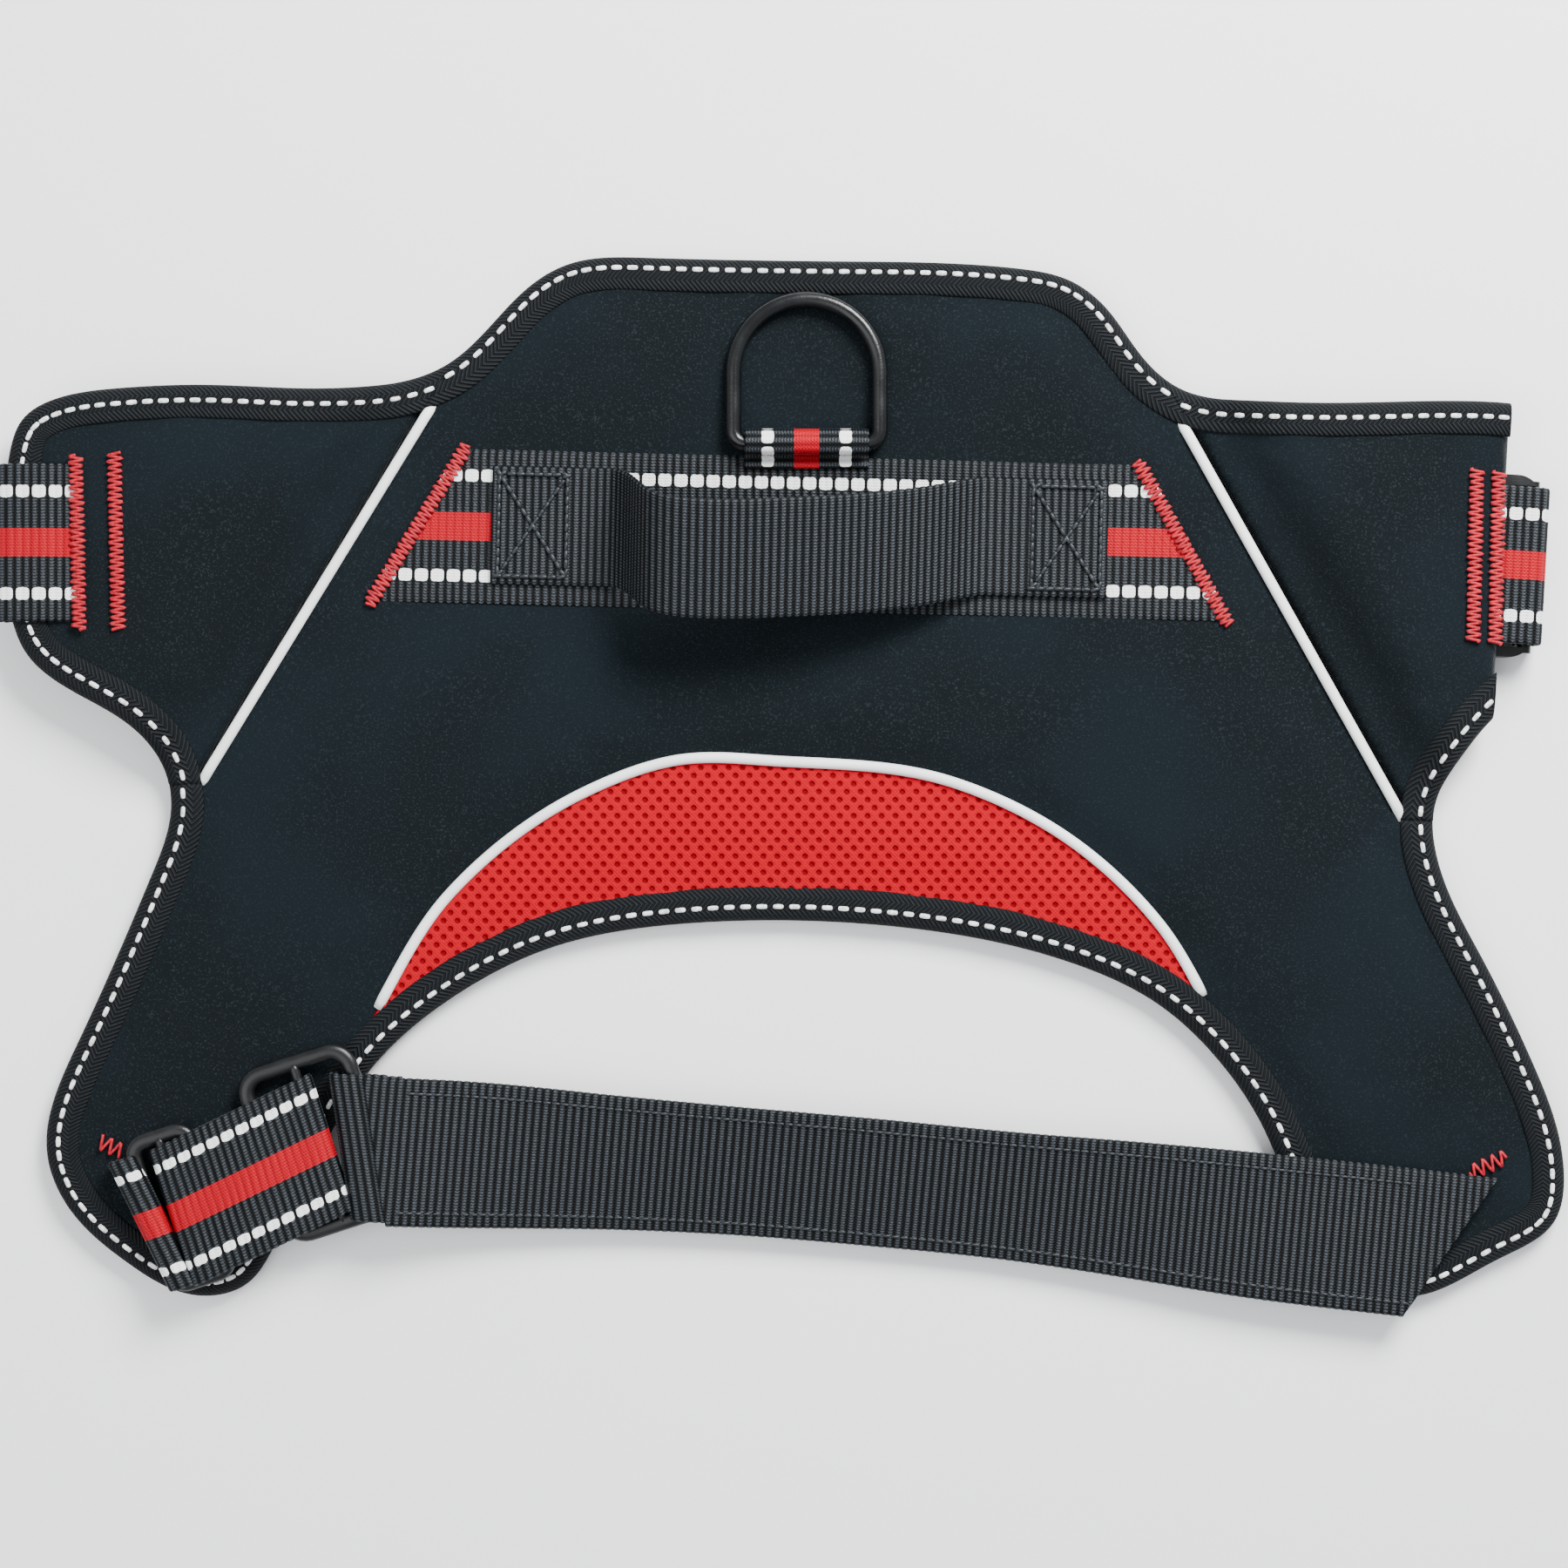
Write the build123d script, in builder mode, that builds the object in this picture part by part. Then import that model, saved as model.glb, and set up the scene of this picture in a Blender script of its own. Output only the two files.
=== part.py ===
"""Padded dog vest harness laid flat: lining down, grab handle and lead ring up.

Millimetres. X runs across the vest from wing to wing, Y from the neck towards the tail edge, Z is up.
The origin is on the resting plane, under the middle of the whole outline.
"""

import math
import os

from build123d import *

os.makedirs("parts", exist_ok=True)

# ---------------------------------------------------------------- driving sizes
# padded panel, from the resting face up
binding_tape = 0.8  # thickness of the tape that wraps every panel edge
binding_width = 11.0  # how far the tape reaches onto the panel
lining_thickness = 0.8
foam_thickness = 4.6
cover_thickness = 0.8
outline_reach = 400.0  # further than any point of the vest
seam_gap = 0.3  # between the centre panel and a wing, under the seam

# webbing
webbing_thickness = 1.8
wide_webbing = 50.0  # back strap and side straps
handle_webbing = 38.0
chest_webbing = 48.0  # measured along the bars of the chest hardware
adjust_webbing = 46.0
lead_loop_webbing = 40.0
stitch_height = 0.4
clear = 0.2  # room between a webbing loop and the bar inside it

# piping beads
piping_width = 3.4
piping_height = 1.2

# wings: the seam runs from seam_top to seam_foot, and the wing climbs onto its buckle
left_seam_top = (-114.5, 121.5)
left_seam_foot = (-189.5, -1.0)
right_seam_top = (129.4, 115.6)
right_seam_foot = (201.2, -12.7)
lift_start = 1.0  # distance from the seam where the climb starts
lift_run = 28.0  # plan length of the climb
right_fold_top = (234.0, 125.0)  # the right wing's end is turned under along this line
right_fold_foot = (228.0, 20.0)

# back strap and handle, both turned a little clockwise
strap_turn = -1.35
back_strap_upper_edge = 105.7  # kept where it is when the webbing gets wider
back_strap_middle = (5.3, back_strap_upper_edge - wide_webbing / 2)
back_strap_top_half = 111.0
back_strap_foot_half = 140.3
zigzag_width = 5.4
handle_middle = (5.0, 81.4)
handle_outer = 99.5  # from the handle's middle to the outer end of a sewn tab
handle_inner_left = 60.3
handle_inner_right = 55.9
handle_rise = 27.0  # height of the grab loop's crown over the tabs
handle_crown = (-39.0, -14.0)  # the loop's two upper bends, along the handle
handle_foot_gap = 8.4  # the swinging loop starts this high over its tabs
handle_lean = 20.0  # degrees that the loop leans towards the neck at rest
box_stitch = (22.5, 33.5)

# lead ring
ring_wire = 5.3
ring_width = lead_loop_webbing + 2 * ring_wire + 1.9
ring_length = 51.9
ring_corner = 4.0
ring_bar_place = (7.3, back_strap_upper_edge + 4.2)
ring_droop = 2.0  # degrees that the ring's bow hangs below its bar

# side-release buckle, one half under each wing end
buckle_width = wide_webbing + 9.0
buckle_thickness = 8.4
wing_lift = buckle_thickness + 0.6  # height of the wing's outer part over the resting plane
buckle_corner = 8.0
buckle_bar = 4.4
buckle_slot = 5.2  # opening beside the webbing bar
buckle_rail = 3.4  # wall of the webbing slot's ends
female_length = 40.0
female_wall = 2.2
male_plate = 26.0
prong_length = 21.0
prong_width = 6.0
prong_thickness = 3.4
prong_spread = 16.0
tongue_width = 8.0
latch_head = 3.0
window_length = 11.0

# chest hardware: a three-bar ring and a three-bar slider on the left flap
hardware_turn = 18.0
hardware_bar = 3.4
hardware_thickness = 3.4
hardware_eye = hardware_bar / 2 + 1.0  # inside radius of a webbing loop round a bar of the hardware
hardware_corner = 7.0
chest_ring_place = (-149.6, -117.0)
chest_ring_size = (40.0, chest_webbing + 14.0)
chest_slider_size = (24.0, adjust_webbing + 11.0)
adjust_turn = 25.8
anchor_length = 8.0  # from the slider's outer bar to the sewn end of its strap
adjust_length = 49.0  # from the slider's middle bar to the ring's middle bar
chest_strap_turn = -5.5
chest_strap_shift = 1.8  # along the ring's rail, from the rail's middle towards the neck
chest_strap_length = 380.0
chest_strap_sag = 7.5  # how far it drops from the flaps to the middle of the neck opening
chest_end_middle = (215.0, -147.0)  # middle of the slanted fold that ends the strap
chest_end_turn = -38.4

# ---------------------------------------------------------------- worked-out levels
lining_low = binding_tape
foam_low = lining_low + lining_thickness
cover_low = foam_low + foam_thickness
cover_top = cover_low + cover_thickness
panel_top = cover_top + binding_tape
strap_top = cover_top + webbing_thickness
tab_top = strap_top + webbing_thickness
wing_top = wing_lift + panel_top
loop_radius = webbing_thickness / 2 + clear  # added to a bar's radius for a loop's middle line

# ---------------------------------------------------------------- outline of the vest
# Points of one closed smooth curve, clockwise from the left wing. Past the right fold line the
# curve goes on as the unturned wing would, and the fold line cuts it.
left_wing_edge = [(-250.3, 64), (-251, 84), (-249.7, 105), (-245, 117.8), (-234, 124.3),
                  (-216, 127.4), (-185, 128.6), (-142, 127.7)]
tail_edge = [(-124, 130.3), (-109, 136.4), (-95, 149), (-81.5, 162.4), (-70, 168.7), (-45, 170.8),
             (20, 169.6), (76, 167.3), (93, 163.3), (105, 154), (116, 139), (128, 128.6), (149, 123.8)]
right_wing_edge = [(190, 123), (226, 123.2), (248, 118), (260, 100), (261, 65), (250, 39),
                   (231, 23.5), (219, 9.8)]
right_flap_edge = [(211.4, -5), (212, -24), (227, -57.3), (243, -90.5), (253, -124), (250, -142),
                   (231, -154.6), (203, -166.3), (184, -160.5), (168, -141)]
neck_edge = [(156.5, -113.6), (140.2, -88.8), (119.9, -70.5), (97, -59.4), (33, -46), (-33, -45.4),
             (-76, -53.3), (-108.6, -70), (-134.5, -93.1), (-150.5, -120)]
left_flap_edge = [(-165, -149), (-174, -162), (-190, -166), (-213, -155.4), (-232.5, -137),
                  (-239, -121), (-228.4, -82.3), (-205, -29), (-198.9, -7), (-205.3, 13.3),
                  (-228, 29.2), (-244, 42)]
outline_points = (left_wing_edge + tail_edge + right_wing_edge + right_flap_edge + neck_edge
                  + left_flap_edge)

crescent_edge = [(-137, -82), (-108.6, -36), (-65.4, -3.1), (-35.3, 7.6), (0, 7.3), (53.9, 0.8),
                 (91.7, -17.5), (121.8, -45.7), (141, -78)]


def inset_loop(edge, distance, count=150):
    """Closed curve parallel to edge, moved inwards: each point goes along the curve's normal."""
    places = []
    for step in range(count):
        point = edge.position_at(step / count)
        way = edge.tangent_at(step / count)
        places.append((point.X + way.Y * distance, point.Y - way.X * distance))
    return Spline(*places, periodic=True)


with BuildLine() as edge_line:
    Spline(*outline_points, periodic=True)
outer_edge = edge_line.edges()[0]

with BuildSketch() as outline:
    with BuildLine():
        add(outer_edge)
    make_face()

with BuildSketch() as panel_area:
    with BuildLine():
        inset_loop(outer_edge, binding_tape)
    make_face()

with BuildSketch() as open_area:
    with BuildLine():
        inset_loop(outer_edge, binding_width)
    make_face()


class Seam:
    """One slanted seam: where it runs, and the plane that the wing's lift is drawn on."""

    def __init__(self, side, top, foot):
        self.side = side
        self.top = Vector(*top, 0)
        self.foot = Vector(*foot, 0)
        self.along = (self.foot - self.top).normalized()
        self.out = Vector(-self.along.Y, self.along.X, 0) * side
        if self.out.X * side < 0:
            self.out = self.out * -1
        self.top = self.top + self.out * (piping_width / 2)
        self.foot = self.foot + self.out * (piping_width / 2)
        self.plane = Plane(origin=self.top, x_dir=self.out, z_dir=self.out.cross(Vector(0, 0, 1)))

    def area(self, gap):
        """Plan area of the wing: outside the seam and above its foot, kept back by gap."""
        start = self.top - self.along * 90 + self.out * gap
        foot = self.foot + self.out * gap + self.along * (-gap)
        far = outline_reach * self.side
        with BuildSketch() as wing:
            with BuildLine():
                Polyline((start.X, start.Y), (foot.X, foot.Y), (far, foot.Y), (far, start.Y), close=True)
            make_face()
        return wing.sketch


left_seam = Seam(-1, left_seam_top, left_seam_foot)
right_seam = Seam(1, right_seam_top, right_seam_foot)

fold_line = (Vector(*right_fold_foot) - Vector(*right_fold_top)).normalized()
with BuildSketch() as turned_under:
    with BuildLine():
        Polyline(right_fold_top, right_fold_foot,
                 (right_fold_foot[0] + 1, right_fold_foot[1] - 4), (outline_reach, 0),
                 (outline_reach, outline_reach), (right_fold_top[0], outline_reach), close=True)
    make_face()


def write(builder, name):
    """Labels a finished piece and writes its STEP file."""
    builder.part.label = name
    export_step(builder.part, f"parts/{name}.step")


def centre_layer(name, area, low, high, hollow=None):
    """Flat layer of the centre panel between two levels, without the wings and a hollow inside it."""
    with BuildPart() as layer:
        with BuildSketch(Plane.XY.offset(low)):
            add(area)
            add(left_seam.area(0), mode=Mode.SUBTRACT)
            add(right_seam.area(0), mode=Mode.SUBTRACT)
        extrude(amount=high - low)
        if hollow:
            add(hollow, mode=Mode.SUBTRACT)
    write(layer, name)


def lift_profile(level):
    """Middle-line points of a wing layer at a level: flat, two equal arcs that climb, flat again."""
    bend = 2 * math.atan2(wing_lift, lift_run)
    radius = lift_run / (2 * math.sin(bend))
    start = (-1.0, level)
    foot = (lift_start, level)
    half_low = (lift_start + (radius - level) * math.sin(bend / 2),
                radius - (radius - level) * math.cos(bend / 2))
    middle = (lift_start + (radius - level) * math.sin(bend),
              radius - (radius - level) * math.cos(bend))
    top = (lift_start + lift_run, wing_lift + level)
    half_high = (top[0] - (radius + level) * math.sin(bend / 2),
                 wing_lift - radius + (radius + level) * math.cos(bend / 2))
    return start, foot, half_low, middle, half_high, top, (outline_reach, wing_lift + level)


def lift_area(low, high):
    """Cross-section of a wing layer, from the seam outwards."""
    below = lift_profile(low)
    above = lift_profile(high)
    with BuildSketch() as band:
        with BuildLine():
            for line in (below, above):
                Line(line[0], line[1])
                ThreePointArc(line[1], line[2], line[3])
                ThreePointArc(line[3], line[4], line[5])
                Line(line[5], line[6])
            Line(below[0], above[0])
            Line(below[6], above[6])
        make_face()
    return band.sketch


def wing_block(seam, area, low, high):
    """The wing's plan area, kept between two levels of the climbing profile."""
    with BuildPart() as block:
        with BuildSketch(Plane.XY.offset(-1)):
            add(area)
            add(seam.area(seam_gap), mode=Mode.INTERSECT)
            if seam is right_seam:
                add(turned_under.sketch, mode=Mode.SUBTRACT)
        extrude(amount=wing_top + 2)
        with BuildSketch(seam.plane):
            add(lift_area(low, high))
        extrude(amount=outline_reach, both=True, mode=Mode.INTERSECT)
    return block.part


def wing_layer(seam, name, area, low, high, hollow=None):
    """Layer of one wing, with an inner block taken out of it where the layer is hollow."""
    with BuildPart() as layer:
        add(wing_block(seam, area, low, high))
        if hollow:
            add(hollow, mode=Mode.SUBTRACT)
    write(layer, name)


def level_plane(place, height, turn=0.0):
    """Horizontal plane over a plan point, turned by an angle in degrees."""
    return Plane(origin=(place[0], place[1], height), x_dir=heading(turn), z_dir=(0, 0, 1))


def heading(turn):
    """Horizontal unit vector at an angle in degrees from the X axis."""
    return Vector(math.cos(math.radians(turn)), math.sin(math.radians(turn)), 0)


def side_plane(place, turn=0.0, height=0.0):
    """Upright plane through a plan point: its X runs along the turn, its Y is up."""
    along = heading(turn)
    return Plane(origin=(place[0], place[1], height), x_dir=along, z_dir=along.cross(Vector(0, 0, 1)))


def webbing(name, plane, points, radii, width, across=None, thickness=webbing_thickness):
    """Flat webbing: its side view is a pen line of the webbing's thickness, drawn out to its width."""
    with BuildPart() as strap:
        with BuildSketch(plane):
            with BuildLine():
                FilletPolyline(*points, radius=radii)
            trace(line_width=thickness)
        extrude(amount=width / 2, dir=across or plane.z_dir, both=True)
    write(strap, name)


# ---------------------------------------------------------------- centre panel
with BuildSketch() as tape_area:
    add(outline.sketch)
    add(open_area.sketch, mode=Mode.SUBTRACT)

with BuildSketch() as crescent:
    with BuildLine():
        Spline(*crescent_edge)
        Polyline(crescent_edge[-1], (150, -130), (-150, -130), crescent_edge[0])
    make_face()

with BuildSketch() as crescent_bead:
    with BuildLine():
        Spline(*crescent_edge)
    trace(line_width=piping_width)
    add(open_area.sketch, mode=Mode.INTERSECT)

with BuildSketch() as cloth_area:
    add(panel_area.sketch)
    add(crescent.sketch, mode=Mode.SUBTRACT)

with BuildSketch() as mesh_area:
    add(panel_area.sketch)
    add(crescent.sketch, mode=Mode.INTERSECT)

centre_layer("centre_lining", panel_area.sketch, lining_low, foam_low)
centre_layer("centre_foam", panel_area.sketch, foam_low, cover_low)
centre_layer("centre_cover", cloth_area.sketch, cover_low, cover_top)
centre_layer("mesh_insert", mesh_area.sketch, cover_low, cover_top)
with BuildPart() as panel_core:
    with BuildSketch(Plane.XY.offset(lining_low)):
        add(panel_area.sketch)
    extrude(amount=cover_top - lining_low)
centre_layer("centre_binding", tape_area.sketch, 0, panel_top, panel_core.part)

with BuildPart() as crescent_piping:
    with BuildSketch(Plane.XY.offset(cover_top)):
        add(crescent_bead.sketch)
    extrude(amount=piping_height)
write(crescent_piping, "crescent_piping")

for seam, side_name in ((left_seam, "left"), (right_seam, "right")):
    middle = (seam.top + seam.foot) / 2 - seam.out * (piping_width / 2 + clear)
    seam_turn = math.degrees(math.atan2(seam.along.Y, seam.along.X))
    with BuildPart() as seam_piping:
        with BuildSketch(level_plane((middle.X, middle.Y), cover_top, seam_turn)):
            Rectangle((seam.foot - seam.top).length + 2 * binding_width, piping_width)
        extrude(amount=piping_height)
        with BuildSketch(Plane.XY.offset(cover_top)):
            add(open_area.sketch)
        extrude(amount=piping_height, mode=Mode.INTERSECT)
    write(seam_piping, f"{side_name}_seam_piping")

# ---------------------------------------------------------------- wings
right_strap_turn = math.degrees(math.atan2(-fold_line.X, fold_line.Y)) + 180
right_strap_place = (231.1, 70.8)
pocket_depth = 19.0
with BuildPart() as strap_pocket:
    pocket_level = wing_lift + cover_low - webbing_thickness - clear / 2
    with BuildSketch(level_plane(right_strap_place, pocket_level, right_strap_turn)):
        Rectangle(2 * pocket_depth + clear, wide_webbing + clear)
    extrude(amount=webbing_thickness + clear / 2)

for seam, side_name, foam_hollow in ((left_seam, "left", None), (right_seam, "right", strap_pocket.part)):
    wing_layer(seam, f"{side_name}_lining", panel_area.sketch, lining_low, foam_low)
    wing_layer(seam, f"{side_name}_foam", panel_area.sketch, foam_low, cover_low, foam_hollow)
    wing_layer(seam, f"{side_name}_cover", panel_area.sketch, cover_low, cover_top)
    wing_layer(seam, f"{side_name}_binding", tape_area.sketch, 0, panel_top,
               wing_block(seam, panel_area.sketch, lining_low, cover_top))

# ---------------------------------------------------------------- side straps and their stitching
buckle_loop = buckle_bar / 2 + loop_radius
buckle_middle = buckle_thickness / 2 + clear
left_strap_place = (-229.0, 77.5)
left_zigzag_turn = 1.7
over_cover = wing_lift + cover_top + webbing_thickness / 2
over_binding = wing_lift + panel_top + webbing_thickness / 2
under_wing = buckle_middle + buckle_loop
under_buckle = buckle_middle - buckle_loop
left_fold = -23.2  # the fold round the wing's edge, from the strap's place
left_bar = -11.0
webbing("left_side_strap", side_plane(left_strap_place),
        [(0.7, over_cover), (-4.0, over_cover), (-6.6, over_binding), (left_fold, over_binding),
         (left_fold, under_wing), (left_bar + buckle_loop, under_wing),
         (left_bar + buckle_loop, under_buckle), (left_fold + 2, under_buckle)],
        [2, 2, 1.2, 1.2, buckle_loop - 0.01, buckle_loop - 0.01], wide_webbing)

right_bar = 10.4
pocket_middle = wing_lift + cover_low - webbing_thickness / 2
return_level = pocket_middle - webbing_thickness - clear
webbing("right_side_strap", side_plane(right_strap_place, right_strap_turn),
        [(-pocket_depth, pocket_middle), (right_bar + buckle_loop, pocket_middle),
         (right_bar + buckle_loop, under_buckle), (right_bar - buckle_loop, under_buckle),
         (right_bar - buckle_loop, return_level), (0.8, return_level)],
        [buckle_loop - 0.01, buckle_loop - 0.01, buckle_loop - 0.01, 2], wide_webbing)


def zigzag_rows(name, rows, height):
    """Raised rows of stitching, each a (middle, turn, length) bar in plan."""
    with BuildPart() as stitching:
        for place, turn, length in rows:
            with BuildSketch(level_plane(place, height, turn)):
                Rectangle(zigzag_width, length)
        extrude(amount=stitch_height)
    write(stitching, name)


zigzag_length = wide_webbing + 7
zigzag_rows("left_wing_stitching_outer", [(left_strap_place, left_zigzag_turn, wide_webbing)],
            wing_lift + strap_top)
zigzag_rows("left_wing_stitching_inner", [((-216.8, 78.0), left_zigzag_turn, zigzag_length)],
            wing_lift + cover_top)
zigzag_rows("right_wing_stitching",
            [((227.6, 72.6), right_strap_turn, zigzag_length - 2),
             ((220.2, 73.2), right_strap_turn, zigzag_length - 2)],
            wing_lift + cover_top)

# ---------------------------------------------------------------- side-release buckle
left_buckle_place = (left_strap_place[0] + left_bar - buckle_bar / 2, left_strap_place[1])
left_buckle_plane = level_plane(left_buckle_place, clear)
right_away = heading(right_strap_turn) * (right_bar + buckle_bar / 2)
right_buckle_place = (right_strap_place[0] + right_away.X, right_strap_place[1] + right_away.Y)
right_buckle_plane = level_plane(right_buckle_place, clear, right_strap_turn + 180)


def buckle_blank(plane, length):
    """Plate of a buckle half with an open webbing slot and a round bar across its outer end."""
    with BuildPart() as blank:
        with BuildSketch(plane):
            with Locations((length / 2, 0)):
                RectangleRounded(length, buckle_width, buckle_corner)
            with Locations(((buckle_bar + buckle_slot) / 2, 0)):
                Rectangle(buckle_bar + buckle_slot, buckle_width - 2 * buckle_rail, mode=Mode.SUBTRACT)
        extrude(amount=buckle_thickness)
        middle = plane.from_local_coords(Vector(buckle_bar / 2, 0, buckle_thickness / 2))
        with BuildSketch(Plane(origin=middle, x_dir=plane.z_dir, z_dir=plane.y_dir)):
            Circle(buckle_bar / 2)
        extrude(amount=buckle_width / 2 - buckle_rail / 2, both=True)
    return blank.part


socket_length = female_length - buckle_bar - buckle_slot - female_wall
socket_half = prong_spread + prong_width / 2 + clear
window_start = female_length - socket_length + 1
with BuildPart() as buckle_female:
    add(buckle_blank(right_buckle_plane, female_length))
    with BuildSketch(right_buckle_plane.offset((buckle_thickness - prong_thickness) / 2 - clear)):
        with Locations((female_length - socket_length / 2, 0)):
            Rectangle(socket_length, 2 * socket_half)
    extrude(amount=prong_thickness + 2 * clear, mode=Mode.SUBTRACT)
    with BuildSketch(right_buckle_plane):
        with Locations((window_start + window_length / 2, buckle_width / 2),
                       (window_start + window_length / 2, -buckle_width / 2)):
            Rectangle(window_length, buckle_width - 2 * prong_spread)
    extrude(amount=buckle_thickness, mode=Mode.SUBTRACT)
write(buckle_female, "buckle_female")

tongue_level = (buckle_thickness - prong_thickness) / 2
with BuildPart() as buckle_male:
    add(buckle_blank(left_buckle_plane, male_plate))
    with BuildSketch(left_buckle_plane.offset(tongue_level)):
        with Locations((male_plate + prong_length / 2 - 1, 0)):
            Rectangle(prong_length, tongue_width)
    extrude(amount=prong_thickness)
write(buckle_male, "buckle_male")

for side, prong_name in ((1, "buckle_prong_upper"), (-1, "buckle_prong_lower")):
    inner = prong_spread - prong_width / 2
    outer = prong_spread + prong_width / 2
    tip = male_plate + prong_length
    with BuildPart() as prong:
        with BuildSketch(left_buckle_plane.offset(tongue_level)):
            with BuildLine():
                Polyline((male_plate + clear, side * inner), (tip, side * inner), (tip, side * (outer - 2)),
                         (tip - window_length / 2, side * (outer + latch_head)),
                         (tip - window_length + clear, side * (outer + latch_head)),
                         (tip - window_length + clear, side * outer),
                         (male_plate + clear, side * outer), close=True)
            make_face()
        extrude(amount=prong_thickness)
    write(prong, prong_name)

# ---------------------------------------------------------------- back strap
along = heading(strap_turn)
strap_half = wide_webbing / 2
back_plane = level_plane(back_strap_middle, cover_top, strap_turn)
with BuildPart() as back_strap:
    with BuildSketch(back_plane):
        with BuildLine():
            Polyline((-back_strap_top_half, strap_half), (back_strap_top_half, strap_half),
                     (back_strap_foot_half, -strap_half), (-back_strap_foot_half, -strap_half), close=True)
        make_face()
    extrude(amount=webbing_thickness)
write(back_strap, "back_strap")

slant = math.degrees(math.atan2(back_strap_foot_half - back_strap_top_half, wide_webbing))
slant_length = math.hypot(back_strap_foot_half - back_strap_top_half, wide_webbing)
end_middle = (back_strap_top_half + back_strap_foot_half) / 2 - zigzag_width / 2
end_rows = []
for side in (-1, 1):
    place = Vector(*back_strap_middle, 0) + along * (side * end_middle)
    end_rows.append(((place.X, place.Y), strap_turn + side * slant, slant_length))
zigzag_rows("back_strap_stitching", end_rows, strap_top)

# ---------------------------------------------------------------- grab handle
tab_plane = level_plane(handle_middle, strap_top, strap_turn)
tab_spans = {"left": (-handle_outer, -handle_inner_left), "right": (handle_inner_right, handle_outer)}
for side_name, (near, far) in tab_spans.items():
    with BuildPart() as tab:
        with BuildSketch(tab_plane):
            with Locations(((near + far) / 2, 0)):
                Rectangle(far - near, handle_webbing)
        extrude(amount=webbing_thickness)
    write(tab, f"handle_{side_name}_tab")

box_inset = 2.4
box_middle = handle_outer - box_inset - box_stitch[0] / 2
with BuildPart() as handle_stitching:
    with BuildSketch(tab_plane.offset(webbing_thickness)):
        for centre in (-box_middle, box_middle):
            with Locations((centre, 0)):
                Rectangle(*box_stitch)
                Rectangle(box_stitch[0] - 2, box_stitch[1] - 2, mode=Mode.SUBTRACT)
            half_x = box_stitch[0] / 2 - 0.5
            half_y = box_stitch[1] / 2 - 0.5
            for side in (-1, 1):
                with BuildLine():
                    Line((centre - half_x, -side * half_y), (centre + half_x, side * half_y))
                trace(line_width=1)
    extrude(amount=stitch_height)
write(handle_stitching, "handle_box_stitching")

lean = math.radians(handle_lean)
across = Vector(0, 0, 1).cross(along)
leaning_up = Vector(0, 0, math.cos(lean)) - across * math.sin(lean)
handle_plane = Plane(origin=(handle_middle[0], handle_middle[1], tab_top), x_dir=along,
                     z_dir=along.cross(leaning_up))
foot_left = (-handle_inner_left + 9.0, handle_foot_gap)
foot_right = (handle_inner_right - 20.0, handle_foot_gap)
crown_left = (handle_crown[0], handle_rise)
crown_right = (handle_crown[1], handle_rise - 2.5)
webbing("handle", handle_plane, [foot_left, crown_left, crown_right, foot_right], [8, 30],
        handle_webbing)

for side_name, near, foot, crown in (("left", -handle_inner_left + clear, foot_left, crown_left),
                                     ("right", handle_inner_right - clear, foot_right, crown_right)):
    rise = math.atan2(crown[1] - foot[1], crown[0] - foot[0])
    run = handle_plane.x_dir * math.cos(rise) + handle_plane.y_dir * math.sin(rise)
    end = handle_plane.from_local_coords(Vector(foot[0], foot[1], 0)) - run * clear
    start = tab_plane.from_local_coords(Vector(near, 0, webbing_thickness / 2))
    with BuildPart() as twist:
        with BuildSketch(Plane(origin=start, x_dir=across, z_dir=along)):
            Rectangle(handle_webbing, webbing_thickness)
        with BuildSketch(Plane(origin=end, x_dir=handle_plane.z_dir * -1, z_dir=run)):
            Rectangle(handle_webbing, webbing_thickness)
        loft(ruled=True)
    write(twist, f"handle_{side_name}_foot")

# ---------------------------------------------------------------- lead ring and its webbing loop
ring_loop = ring_wire / 2 + loop_radius
ring_level = cover_top + ring_loop + webbing_thickness / 2
strap_edge = back_strap_upper_edge + 0.5  # where the loop's tail meets the back strap
with BuildPart() as lead_loop:
    with BuildSketch(Plane(origin=(ring_bar_place[0], 0, 0), x_dir=(0, 1, 0), z_dir=(1, 0, 0))):
        with Locations((ring_bar_place[1], ring_level)):
            Circle(ring_loop + webbing_thickness / 2)
        with Locations(((ring_bar_place[1] + strap_edge) / 2, cover_top + webbing_thickness / 2)):
            Rectangle(ring_bar_place[1] - strap_edge, webbing_thickness)
        with Locations((ring_bar_place[1], ring_level)):
            Circle(ring_loop - webbing_thickness / 2, mode=Mode.SUBTRACT)
    extrude(amount=lead_loop_webbing / 2, both=True)
write(lead_loop, "lead_ring_loop")

droop = math.radians(ring_droop)
ring_plane = Plane(origin=(*ring_bar_place, ring_level), x_dir=(1, 0, 0),
                   z_dir=(0, math.sin(droop), math.cos(droop)))
half_ring = (ring_width - ring_wire) / 2
bow_top = ring_length - ring_wire
diagonal = ring_corner * (1 - math.sqrt(0.5))
with BuildPart() as d_ring:
    with BuildLine(ring_plane):
        Line((-half_ring + ring_corner, 0), (half_ring - ring_corner, 0))
        Line((half_ring, ring_corner), (half_ring, bow_top - half_ring))
        ThreePointArc((half_ring, bow_top - half_ring), (0, bow_top), (-half_ring, bow_top - half_ring))
        Line((-half_ring, bow_top - half_ring), (-half_ring, ring_corner))
        for side in (-1, 1):
            ThreePointArc((side * (half_ring - ring_corner), 0),
                          (side * (half_ring - diagonal), diagonal), (side * half_ring, ring_corner))
    with BuildSketch(Plane(origin=(*ring_bar_place, ring_level), x_dir=(0, 1, 0), z_dir=(1, 0, 0))):
        Circle(ring_wire / 2)
    sweep()
write(d_ring, "d_ring")

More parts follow.
